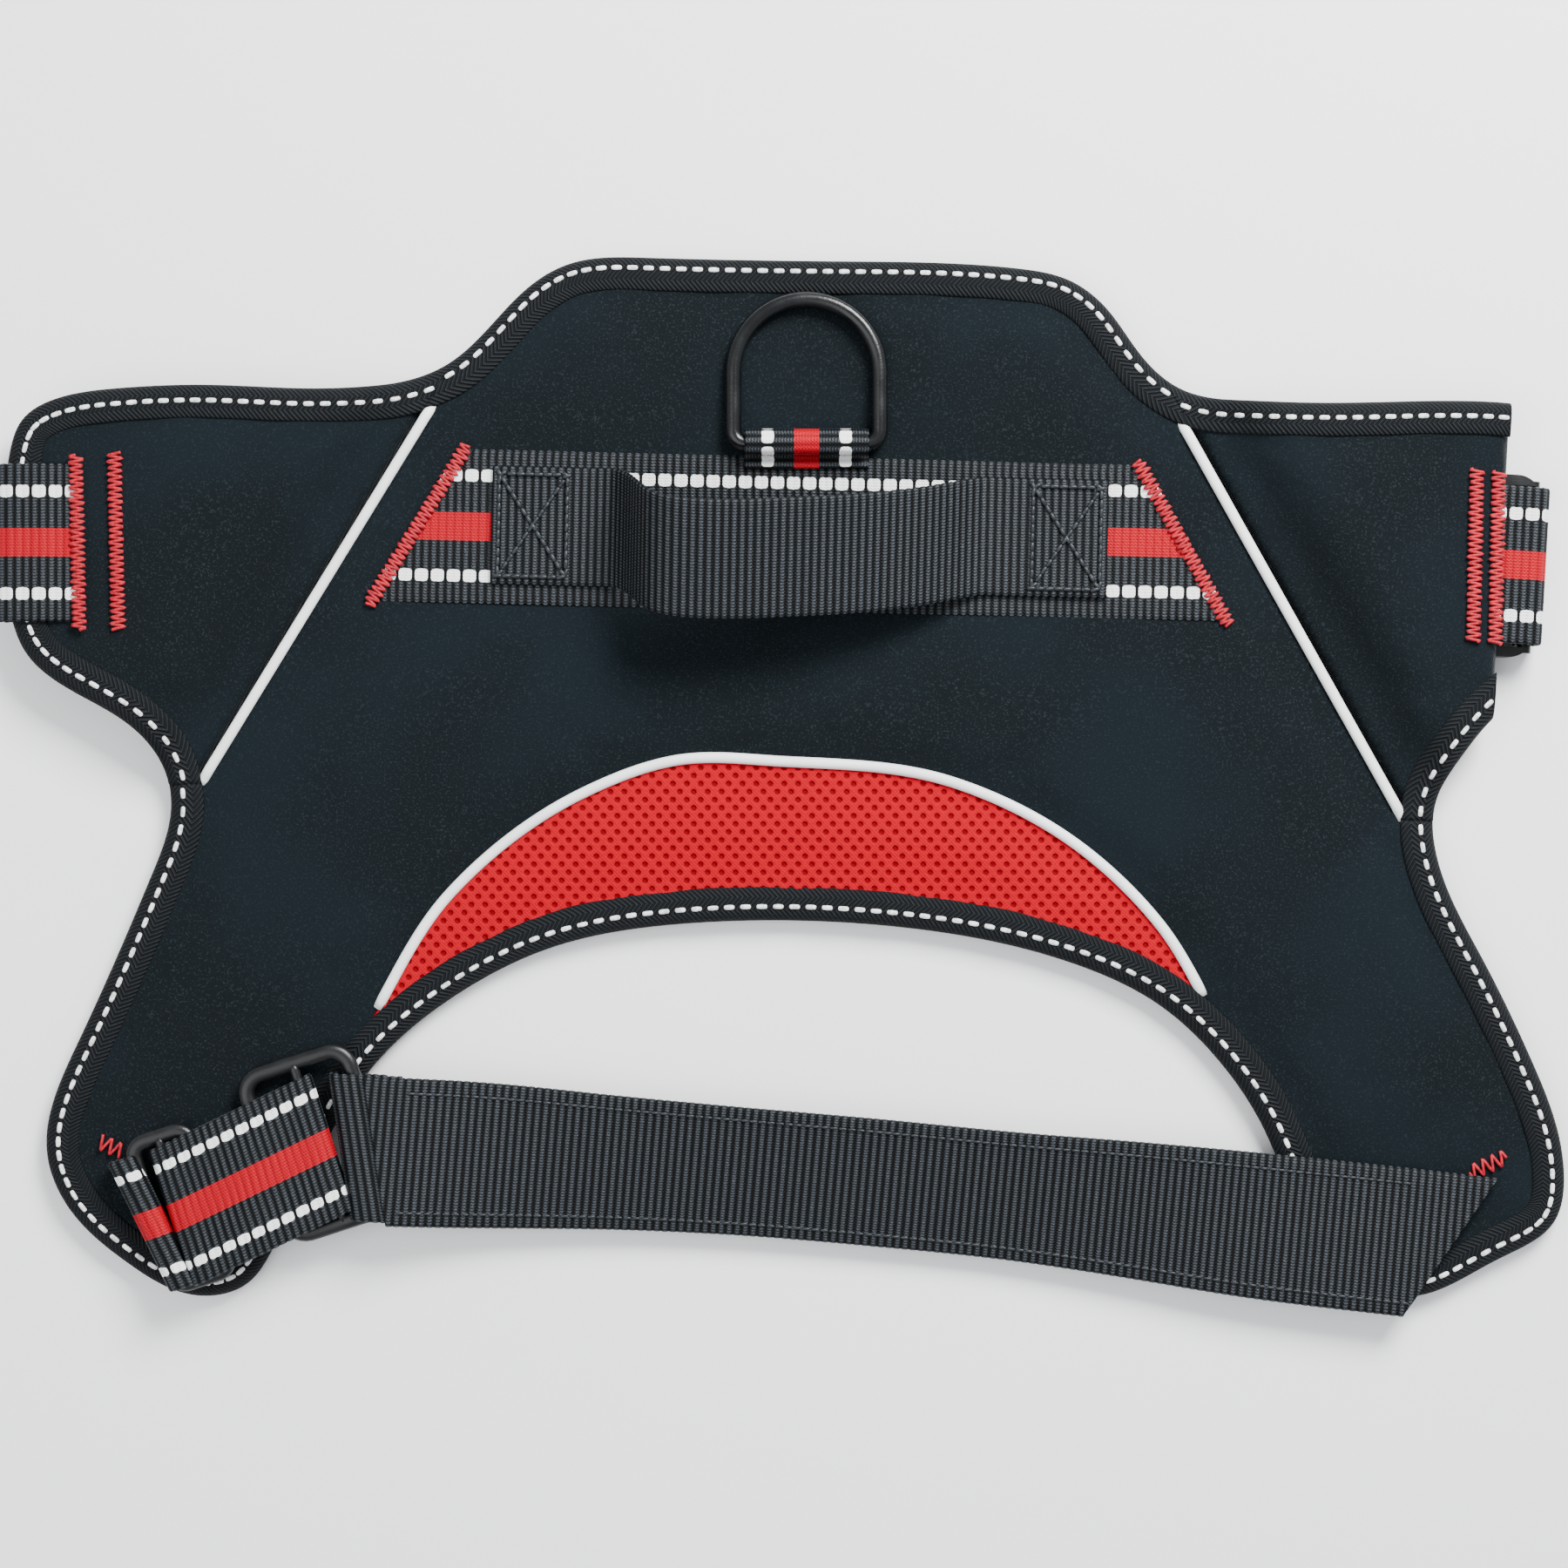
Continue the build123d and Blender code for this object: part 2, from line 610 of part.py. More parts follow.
# ---------------------------------------------------------------- chest hardware and straps
chest_level = panel_top + clear + webbing_thickness + hardware_eye
hardware_along = heading(hardware_turn)
bar_way = hardware_along.cross(Vector(0, 0, 1))
ring_place = Vector(*chest_ring_place, 0)
adjust_along = heading(adjust_turn)
slider_place = ring_place - adjust_along * adjust_length


def three_bar(name, place, size, bar_places):
    """Moulded frame with round bars across it: a plate with rounded ends and open slots."""
    plane = level_plane((place.X, place.Y), chest_level, hardware_turn)
    with BuildPart() as frame:
        with BuildSketch(plane.offset(-hardware_thickness / 2)):
            RectangleRounded(*size, hardware_corner)
            RectangleRounded(size[0] - 2 * hardware_bar, size[1] - 2 * hardware_bar,
                             hardware_corner - hardware_bar, mode=Mode.SUBTRACT)
        extrude(amount=hardware_thickness)
        for bar_place in bar_places:
            end = place + hardware_along * bar_place + bar_way * (size[1] / 2 - 1)
            with BuildSketch(Plane(origin=(end.X, end.Y, chest_level), x_dir=(0, 0, 1), z_dir=bar_way)):
                Circle(hardware_bar / 2)
            extrude(amount=-(size[1] - 2))
    write(frame, name)


three_bar("chest_ring", ring_place, chest_ring_size, [0])
three_bar("chest_slider", slider_place, chest_slider_size, [0])

belt_radius = hardware_eye + webbing_thickness / 2
belt_middle = (ring_place + slider_place) / 2
with BuildPart() as adjust_strap:
    with BuildSketch(side_plane((belt_middle.X, belt_middle.Y), adjust_turn, chest_level)):
        SlotCenterToCenter(adjust_length, 2 * belt_radius + webbing_thickness)
        SlotCenterToCenter(adjust_length, 2 * belt_radius - webbing_thickness, mode=Mode.SUBTRACT)
    extrude(amount=adjust_webbing / 2, dir=bar_way, both=True)
write(adjust_strap, "chest_adjust_strap")

bar_shift = chest_ring_size[0] / 2 - hardware_bar / 2
chest_start = ring_place + hardware_along * bar_shift + bar_way * chest_strap_shift
chest_plane = side_plane((chest_start.X, chest_start.Y), chest_strap_turn)
doubled = 2 * webbing_thickness
loop_end = 17.0  # where the loop's two layers meet and the doubled strap begins
low_level = panel_top + doubled / 2 - chest_strap_sag
flap_level = panel_top + doubled / 2
with BuildPart() as chest_strap:
    with BuildSketch(chest_plane):
        with BuildLine():
            FilletPolyline((loop_end, flap_level + clear), (34, flap_level + clear), (80, low_level),
                           (220, low_level), (270, flap_level), (chest_strap_length, flap_level), radius=40)
        trace(line_width=doubled)
    extrude(amount=chest_webbing / 2, dir=bar_way, both=True)
    with BuildSketch(level_plane(chest_end_middle, 0, chest_end_turn)):
        with Locations((outline_reach / 2, 0)):
            Rectangle(outline_reach, outline_reach)
    extrude(amount=wing_top, mode=Mode.SUBTRACT)
write(chest_strap, "chest_strap")

loop_level = flap_level + clear + webbing_thickness / 2 + clear / 2  # kept off the layer below it
webbing("chest_strap_loop", chest_plane,
        [(loop_end, loop_level), (loop_end - 2.5, loop_level), (8, chest_level + belt_radius),
         (-belt_radius, chest_level + belt_radius), (-belt_radius, chest_level - belt_radius),
         (loop_end, chest_level - belt_radius)],
        [2, 3, belt_radius - 0.01, belt_radius - 0.01], chest_webbing, bar_way)

anchor_bar = slider_place - hardware_along * (chest_slider_size[0] / 2 - hardware_bar / 2)
webbing("chest_anchor_strap", side_plane((anchor_bar.X, anchor_bar.Y), hardware_turn, chest_level),
        [(-anchor_length, -belt_radius), (belt_radius, -belt_radius), (belt_radius, belt_radius),
         (-belt_radius, belt_radius), (-belt_radius, -belt_radius + webbing_thickness + clear)],
        belt_radius - 0.01, adjust_webbing, bar_way)

zigzag_rows("chest_bartacks", [((-217.6, -116.6), 64, 6.5), ((226.5, -124.4), -64, 12.0)], cover_top)
print("nodes", len(os.listdir("parts")))
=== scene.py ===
"""Padded dog vest harness, laid flat with its lining down: the visual model.

Sizes inside the classes are millimetres in the part's own frame; meshes are written in metres.
"""

import logging
from dataclasses import dataclass, field
from enum import Enum
from typing import Any, Callable, ClassVar, Optional, Sequence

import bmesh
import bpy
import numpy as np
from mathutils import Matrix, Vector


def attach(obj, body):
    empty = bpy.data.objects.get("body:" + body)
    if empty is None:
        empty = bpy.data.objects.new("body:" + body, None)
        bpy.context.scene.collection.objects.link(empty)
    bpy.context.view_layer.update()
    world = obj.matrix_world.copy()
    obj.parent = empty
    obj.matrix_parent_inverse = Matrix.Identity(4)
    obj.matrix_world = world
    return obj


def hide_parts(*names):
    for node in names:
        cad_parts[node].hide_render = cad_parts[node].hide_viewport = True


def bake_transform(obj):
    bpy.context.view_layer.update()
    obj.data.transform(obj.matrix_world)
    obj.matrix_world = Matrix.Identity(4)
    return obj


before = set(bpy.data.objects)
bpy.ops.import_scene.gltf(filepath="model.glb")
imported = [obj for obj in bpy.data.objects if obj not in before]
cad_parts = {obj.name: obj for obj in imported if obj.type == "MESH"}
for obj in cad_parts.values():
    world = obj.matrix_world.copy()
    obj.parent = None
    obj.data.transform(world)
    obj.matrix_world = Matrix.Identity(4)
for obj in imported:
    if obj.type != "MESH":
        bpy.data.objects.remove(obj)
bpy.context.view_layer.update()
log = logging.getLogger("harness")

Points = np.ndarray
Socket = Any
Colour = tuple[float, float, float]
Lift = Callable[[Points], Points]
View = tuple[tuple[float, float], ...]
MM = 0.001
TINY = 1e-9
BATCH = 3_000_000  # pairs of points and spans that are measured at once
UP = np.array([0.0, 0.0, 1.0])

# ---------------------------------------------------------------- levels shared with the part
COVER_TOP = 7.0
STRAP_TOP = 8.8
TAB_TOP = 10.6
WEBBING = 1.8
RIB_HEIGHT = 0.36
RIB_STEPS = 7
GIRTH_WIDTH = 50.5
WING_LIFT = 9.0
LIFT_START = 1.0
LIFT_RUN = 28.0
TAPE_WIDTH = 11.0
TAPE_COVERS = 7.5  # the cover stays level this far in from a panel's edge
TAPE_FADE = 8.0
SUNK_RAMP = 2.0  # the cover sinks by 1 mm under the mesh over this distance

OUTLINE = np.array([
    (-250.3, 64), (-251, 84), (-249.7, 105), (-245, 117.8), (-234, 124.3), (-216, 127.4), (-185, 128.6),
    (-142, 127.7), (-124, 130.3), (-109, 136.4), (-95, 149), (-81.5, 162.4), (-70, 168.7), (-45, 170.8),
    (20, 169.6), (76, 167.3), (93, 163.3), (105, 154), (116, 139), (128, 128.6), (149, 123.8),
    (190, 123), (226, 123.2), (248, 118), (260, 100), (261, 65), (250, 39), (231, 23.5), (219, 9.8),
    (211.4, -5), (212, -24), (227, -57.3), (243, -90.5), (253, -124), (250, -142), (231, -154.6),
    (203, -166.3), (184, -160.5), (168, -141), (156.5, -113.6), (140.2, -88.8), (119.9, -70.5),
    (97, -59.4), (33, -46), (-33, -45.4), (-76, -53.3), (-108.6, -70), (-134.5, -93.1), (-150.5, -120),
    (-165, -149), (-174, -162), (-190, -166), (-213, -155.4), (-232.5, -137), (-239, -121),
    (-228.4, -82.3), (-205, -29), (-198.9, -7), (-205.3, 13.3), (-228, 29.2), (-244, 42)], float)
CRESCENT = np.array([
    (-137, -82), (-108.6, -36), (-65.4, -3.1), (-35.3, 7.6), (0, 7.3), (53.9, 0.8), (91.7, -17.5),
    (121.8, -45.7), (141, -78)], float)


# ---------------------------------------------------------------- curves in plan
def running(line: Points) -> Points:
    """Arc length of a polyline up to each of its points."""
    return np.concatenate([[0], np.cumsum(np.linalg.norm(np.diff(line, axis=0), axis=1))])


def closed_up(loop: Points) -> Points:
    """The loop with its first point repeated at the end."""
    return np.vstack([loop, loop[:1]])


def unit(rows: Points) -> Points:
    """Each row scaled to length 1."""
    return rows / np.linalg.norm(rows, axis=1)[:, None]


def smooth(share: Points) -> Points:
    """Smooth step of a share between 0 and 1."""
    return share * share * (3 - 2 * share)


def cubic_loop(points: Points, count: int) -> Points:
    """Closed cubic spline through the points, sampled at equal arc lengths.

    The knots are running chord lengths. The second derivatives m solve the cyclic system
    h0*m0 + 2*(h0 + h1)*m1 + h1*m2 = 6*(slope after - slope before).

    Args:
        points: Corner points, one row each.
        count: How many samples go round the loop.

    Returns:
        The samples, without a repeat of the first.
    """
    size = len(points)
    after = np.roll(points, -1, axis=0)
    span = np.linalg.norm(after - points, axis=1)
    before = np.roll(span, 1)
    rows = np.arange(size)
    system = np.zeros((size, size))
    system[rows, (rows - 1) % size] = before
    system[rows, rows] = 2 * (before + span)
    system[rows, (rows + 1) % size] = span
    slope = (after - points) / span[:, None]
    bend = np.linalg.solve(system, 6 * (slope - np.roll(slope, 1, axis=0)))
    bend_after = np.roll(bend, -1, axis=0)
    share = np.arange(48)[None, :, None] / 48
    h = span[:, None, None]
    near, far = h * (1 - share), h * share
    fine = (bend[:, None] * near ** 3 + bend_after[:, None] * far ** 3) / (6 * h)
    fine += (points[:, None] / h - bend[:, None] * h / 6) * near
    fine += (after[:, None] / h - bend_after[:, None] * h / 6) * far
    return even_steps(np.vstack([fine.reshape(-1, 2), points[:1]]), count + 1)[:-1]


def soft_curve(points: Points, count: int) -> Points:
    """Open curve through the points: centripetal tangents, cubic Hermite spans, equal steps.

    Args:
        points: Points of any dimension, one row each.
        count: How many samples the curve gets.

    Returns:
        The samples, ends included.
    """
    knots = running(points)
    slope = np.gradient(points, knots, axis=0)
    place = np.linspace(0, knots[-1], 60 * len(points))
    span = np.clip(np.searchsorted(knots, place, side="right") - 1, 0, len(points) - 2)
    h = (knots[span + 1] - knots[span])[:, None]
    t = (place - knots[span])[:, None] / h
    curve = (2 * t ** 3 - 3 * t ** 2 + 1) * points[span] + (3 * t ** 2 - 2 * t ** 3) * points[span + 1]
    curve += h * ((t ** 3 - 2 * t ** 2 + t) * slope[span] + (t ** 3 - t ** 2) * slope[span + 1])
    return even_steps(curve, count)


def even_steps(line: Points, count: int) -> Points:
    """Resamples a polyline at equal arc lengths.

    Args:
        line: Polyline, one row each.
        count: How many samples, ends included.

    Returns:
        The samples.
    """
    run = running(line)
    place = np.linspace(0, run[-1], count)
    return np.stack([np.interp(place, run, line[:, axis]) for axis in range(line.shape[1])], axis=1)


def length_of(line: Points) -> float:
    """Arc length of a polyline."""
    return float(running(line)[-1])


def nearest_on(points: Points, line: Points) -> tuple[Points, Points]:
    """Nearest point of a polyline to each plan point: the best foot over its straight spans.

    Args:
        points: Plan points, one row each.
        line: Polyline; close it by repeating the first point.

    Returns:
        The feet on the polyline, and the distance to each.
    """
    start, step = line[:-1], np.diff(line, axis=0)
    size = np.maximum((step ** 2).sum(axis=1), TINY)
    feet, least = np.empty((len(points), 2)), np.empty(len(points))
    for part in np.array_split(np.arange(len(points)), max(1, len(points) * len(start) // BATCH)):
        share = np.clip(((points[part][:, None] - start[None]) * step).sum(axis=2) / size, 0, 1)[..., None]
        foot = start[None] + share * step
        away = np.linalg.norm(points[part][:, None] - foot, axis=2)
        best = away.argmin(axis=1)
        rows = np.arange(len(part))
        feet[part], least[part] = foot[rows, best], away[rows, best]
    return feet, least


def distance_to(points: Points, line: Points) -> Points:
    """Distance from each plan point to a polyline."""
    return nearest_on(points, line)[1]


def is_inside(points: Points, loop: Points) -> Points:
    """Whether each plan point lies in a closed loop: an odd number of crossings to its right.

    Args:
        points: Plan points, one row each.
        loop: Closed polygon, first point not repeated.

    Returns:
        One truth value for each point.
    """
    x0, y0 = loop.T
    x1, y1 = np.roll(loop, -1, axis=0).T
    rise = np.where(y1 == y0, TINY, y1 - y0)
    odd = np.zeros(len(points), bool)
    for part in np.array_split(np.arange(len(points)), max(1, len(points) * len(loop) // BATCH)):
        x, y = points[part, 0:1], points[part, 1:2]
        hit = ((y0 > y) != (y1 > y)) & (x < x0 + (x1 - x0) * (y - y0) / rise)
        odd[part] = hit.sum(axis=1) % 2 == 1
    return odd


@dataclass
class Cut:
    """Straight line in plan that ends a piece, met near a known point."""

    place: tuple[float, float]
    way: tuple[float, float]


@dataclass
class Outline:
    """The vest's outer edge, walked clockwise by arc length."""

    rim: Points = field(default_factory=lambda: cubic_loop(OUTLINE, 3200))

    def __post_init__(self) -> None:
        """Measures the rim and finds its inward normals."""
        way = unit(np.roll(self.rim, -1, axis=0) - np.roll(self.rim, 1, axis=0))
        self.inward = np.stack([way[:, 1], -way[:, 0]], axis=1)
        self.length = length_of(closed_up(self.rim))
        self.step = self.length / len(self.rim)

    def at(self, along: Points, inset: Points) -> Points:
        """Plan points: the rim point at an arc length, moved inwards along its normal.

        Args:
            along: Arc lengths, any shape.
            inset: Distances inwards, of a shape that fits.

        Returns:
            Points with one more axis of two.
        """
        place = np.asarray(along, float) / self.step
        low = np.floor(place).astype(int)
        share = (place - low)[..., None]
        low %= len(self.rim)
        high = (low + 1) % len(self.rim)
        point = self.rim[low] * (1 - share) + self.rim[high] * share
        normal = self.inward[low] * (1 - share) + self.inward[high] * share
        return point + normal * np.asarray(inset, float)[..., None]

    def meet(self, cut: Cut, insets: Points) -> Points:
        """Arc lengths where curves parallel to the rim cross a cut, nearest its place.

        Args:
            cut: The crossing line.
            insets: One distance inwards for each parallel curve.

        Returns:
            One arc length for each inset.
        """
        along = np.arange(len(self.rim)) * self.step
        side = np.array([-cut.way[1], cut.way[0]])
        curves = self.at(along[None], insets[:, None])
        value = (curves - np.array(cut.place)) @ side
        crosses = (value * np.roll(value, -1, axis=1)) <= 0
        away = np.linalg.norm(curves - np.array(cut.place), axis=2)
        best = np.where(crosses, away, 1e9).argmin(axis=1)
        rows = np.arange(len(insets))
        here, there = value[rows, best], value[rows, (best + 1) % len(self.rim)]
        return (best + here / np.where(here == there, 1, here - there)) * self.step


class Side(Enum):
    """Which wing a piece belongs to."""

    LEFT = -1
    RIGHT = 1


@dataclass
class Seam:
    """Slanted seam that a wing hangs on, with the climb of the wing beyond it."""

    side: Side
    top: tuple[float, float]
    foot: tuple[float, float]
    bead_half: float = 1.7

    def __post_init__(self) -> None:
        """Finds the seam's direction and its outward side."""
        way = np.subtract(self.foot, self.top)
        self.way = way / np.linalg.norm(way)
        self.out = np.array([-self.way[1], self.way[0]])
        if self.out[0] * self.side.value < 0:
            self.out = -self.out
        self.start = np.array(self.top) + self.out * self.bead_half
        self.end = np.array(self.foot) + self.out * self.bead_half

    def lift(self, points: Points) -> Points:
        """Height of the wing's climb: two equal arcs that meet half way up.

        Args:
            points: Plan points, last axis of two.

        Returns:
            Heights over the resting level.
        """
        bend = 2 * np.arctan2(WING_LIFT, LIFT_RUN)
        radius = LIFT_RUN / (2 * np.sin(bend))
        run = np.clip((points - self.start) @ self.out - LIFT_START, 0, LIFT_RUN)
        low = radius - np.sqrt(radius ** 2 - np.minimum(run, LIFT_RUN / 2) ** 2)
        back = LIFT_RUN - np.maximum(run, LIFT_RUN / 2)
        high = WING_LIFT - radius + np.sqrt(radius ** 2 - back ** 2)
        return np.where(run < LIFT_RUN / 2, low, high)


def flat(points: Points) -> Points:
    """No lift, for pieces of the centre panel."""
    return np.zeros(points.shape[:-1])


LEFT_SEAM = Seam(Side.LEFT, (-114.5, 121.5), (-189.5, -1.0))
RIGHT_SEAM = Seam(Side.RIGHT, (129.4, 115.6), (201.2, -12.7))
FOLD_TOP = np.array([234.0, 125.0])
FOLD_FOOT = np.array([228.0, 20.0])


# ---------------------------------------------------------------- meshes from arrays
def build_mesh(name: str, points: Points, corners: Points, sizes: Points, uv: Optional[Points] = None,
               closed: bool = True) -> bpy.types.Object:
    """Makes one object from whole arrays.

    Args:
        name: Object name.
        points: Vertices in millimetres.
        corners: Vertex index of each face corner, one after another.
        sizes: Corner count of each face.
        uv: Place on the UV map of each face corner, in metres.
        closed: Whether the mesh is a closed shell whose faces are turned outwards.

    Returns:
        The new object, linked into the scene.
    """
    mesh = bpy.data.meshes.new(name)
    mesh.vertices.add(len(points))
    mesh.vertices.foreach_set("co", (points * MM).astype(np.float32).ravel())
    mesh.loops.add(len(corners))
    mesh.loops.foreach_set("vertex_index", corners.astype(np.int32))
    mesh.polygons.add(len(sizes))
    starts = np.concatenate([[0], np.cumsum(sizes)[:-1]])
    mesh.polygons.foreach_set("loop_start", starts.astype(np.int32))
    mesh.update(calc_edges=True)
    if uv is not None:
        mesh.uv_layers.new(name="UVMap").data.foreach_set("uv", uv.astype(np.float32).ravel())
    if closed:
        shell = bmesh.new()
        shell.from_mesh(mesh)
        bmesh.ops.recalc_face_normals(shell, faces=shell.faces)
        shell.to_mesh(mesh)
        shell.free()
    mesh.polygons.foreach_set("use_smooth", np.ones(len(sizes), bool))
    mesh.update()
    piece = bpy.data.objects.new(name, mesh)
    bpy.context.scene.collection.objects.link(piece)
    return piece


def skin(name: str, grid: Points, uv: Points, ring: bool = False) -> bpy.types.Object:
    """Closed shell over a grid whose rows go round a section and whose columns run along it.

    Args:
        name: Object name.
        grid: Points in millimetres, rows by columns by three.
        uv: Map places in millimetres, one more row than the grid (and one more column in a ring).
        ring: Whether the columns close on themselves; otherwise both ends are capped.

    Returns:
        The new object.
    """
    rows, columns = grid.shape[:2]
    r, c = np.meshgrid(np.arange(rows), np.arange(columns if ring else columns - 1), indexing="ij")
    up, on = (r + 1) % rows, (c + 1) % columns
    quads = np.stack([r * columns + c, r * columns + on, up * columns + on, up * columns + c], axis=-1)
    places = np.stack([uv[r, c], uv[r, c + 1], uv[r + 1, c + 1], uv[r + 1, c]], axis=-2)
    corners, spots = quads.reshape(-1), places.reshape(-1, 2)
    sizes = np.full(quads.shape[0] * quads.shape[1], 4)
    if not ring:
        caps = np.concatenate([np.arange(rows) * columns, np.arange(rows)[::-1] * columns + columns - 1])
        corners = np.concatenate([corners, caps])
        spots = np.concatenate([spots, uv[:rows, 0], uv[:rows, -1][::-1]])
        sizes = np.concatenate([sizes, [rows, rows]])
    return build_mesh(name, grid.reshape(-1, 3), corners, sizes, spots * MM)


def frames_along(path: Points, up: Points, ring: bool = False) -> tuple[Points, Points]:
    """Side and upper directions along a path, square to its tangent.

    Args:
        path: Points of the path, one row each.
        up: Direction, or one for each point, that the section's top should face.
        ring: Whether the path closes on itself.

    Returns:
        The side directions and the upper directions.
    """
    if ring:
        way = np.roll(path, -1, axis=0) - np.roll(path, 1, axis=0)
    else:
        way = np.gradient(path, axis=0)
    way = unit(way)
    side = unit(np.cross(way, np.broadcast_to(up, path.shape)))
    return side, np.cross(side, way)


def tube(name: str, path: Points, radius: float, up: Sequence[float] = (0, 0, 1), ring: bool = False,
         sides: int = 12, flatten: float = 1.0) -> bpy.types.Object:
    """Round or oval section carried along a path: point = path + radius*(cos*side + flatten*sin*up).

    Args:
        name: Object name.
        path: Centre line in millimetres.
        radius: Half the section's width.
        up: Direction of the section's top.
        ring: Whether the path closes on itself.
        sides: Points round the section.
        flatten: Height of the section over its width.

    Returns:
        The new object.
    """
    side, top = frames_along(path, np.array(up, float), ring)
    turn = np.arange(sides)[:, None, None] * 2 * np.pi / sides
    grid = path[None] + radius * (np.cos(turn) * side[None] + flatten * np.sin(turn) * top[None])
    closing = closed_up(path) if ring else path
    run = running(closing)
    around = np.arange(sides + 1) * 2 * np.pi * radius / sides
    uv = np.stack(np.broadcast_arrays(run[None], around[:, None]), axis=-1)
    return skin(name, grid, uv, ring)


def rounded_loop(length: float, width: float, corner: float, steps: int = 10) -> Points:
    """Closed rounded rectangle in plan: four quarter circles joined by straights.

    Args:
        length: Size along x.
        width: Size along y.
        corner: Corner radius.
        steps: Points on each quarter.

    Returns:
        Points round the loop, evenly spaced.
    """
    turn = np.linspace(0, np.pi / 2, steps)
    arc = corner * np.stack([np.cos(turn), np.sin(turn)], axis=1)
    x, y = length / 2 - corner, width / 2 - corner
    loop = np.vstack([arc + (x, y), arc[::-1] * (-1, 1) + (-x, y), -arc + (-x, -y),
                      arc[::-1] * (1, -1) + (x, -y)])
    return even_steps(closed_up(loop), 121)[:-1]


def pill() -> tuple[Points, Points, Points]:
    """Small closed stitch of unit half-sizes: five rings of eight points and two end caps.

    Returns:
        Vertices, corner indices and face sizes.
    """
    run = np.array([-1, -0.8, 0, 0.8, 1])[:, None]
    girth = np.array([0.45, 0.88, 1, 0.88, 0.45])[:, None]
    turn = np.arange(8)[None] * np.pi / 4
    points = np.stack(np.broadcast_arrays(run, girth * np.cos(turn), girth * np.sin(turn)), axis=-1)
    r, c = np.meshgrid(np.arange(4), np.arange(8), indexing="ij")
    on = (c + 1) % 8
    quads = np.stack([r * 8 + c, r * 8 + on, (r + 1) * 8 + on, (r + 1) * 8 + c], axis=-1).reshape(-1)
    corners = np.concatenate([quads, np.arange(8)[::-1], 32 + np.arange(8)])
    return points.reshape(-1, 3), corners, np.array([4] * 32 + [8, 8])


def stitches(name: str, centres: Points, ways: Points, ups: Points, size: tuple[float, float, float]
             ) -> bpy.types.Object:
    """Many stitches in one mesh: each is the pill, scaled, turned to its way and moved to its centre.

    Args:
        name: Object name.
        centres: Middle of each stitch in millimetres.
        ways: Direction of each stitch.
        ups: Direction that each stitch's top faces.
        size: Length, width and height of a stitch.

    Returns:
        The new object.
    """
    points, corners, sizes = pill()
    ways = unit(ways)
    side = unit(np.cross(ups, ways))
    top = np.cross(ways, side)
    half = points * np.array(size) / 2
    placed = centres[:, None] + half[None, :, :1] * ways[:, None]
    placed = placed + half[None, :, 1:2] * side[:, None] + half[None, :, 2:] * top[:, None]
    count = len(centres)
    shift = np.arange(count)[:, None] * len(points)
    return build_mesh(name, placed.reshape(-1, 3), (corners[None] + shift).reshape(-1), np.tile(sizes, count))


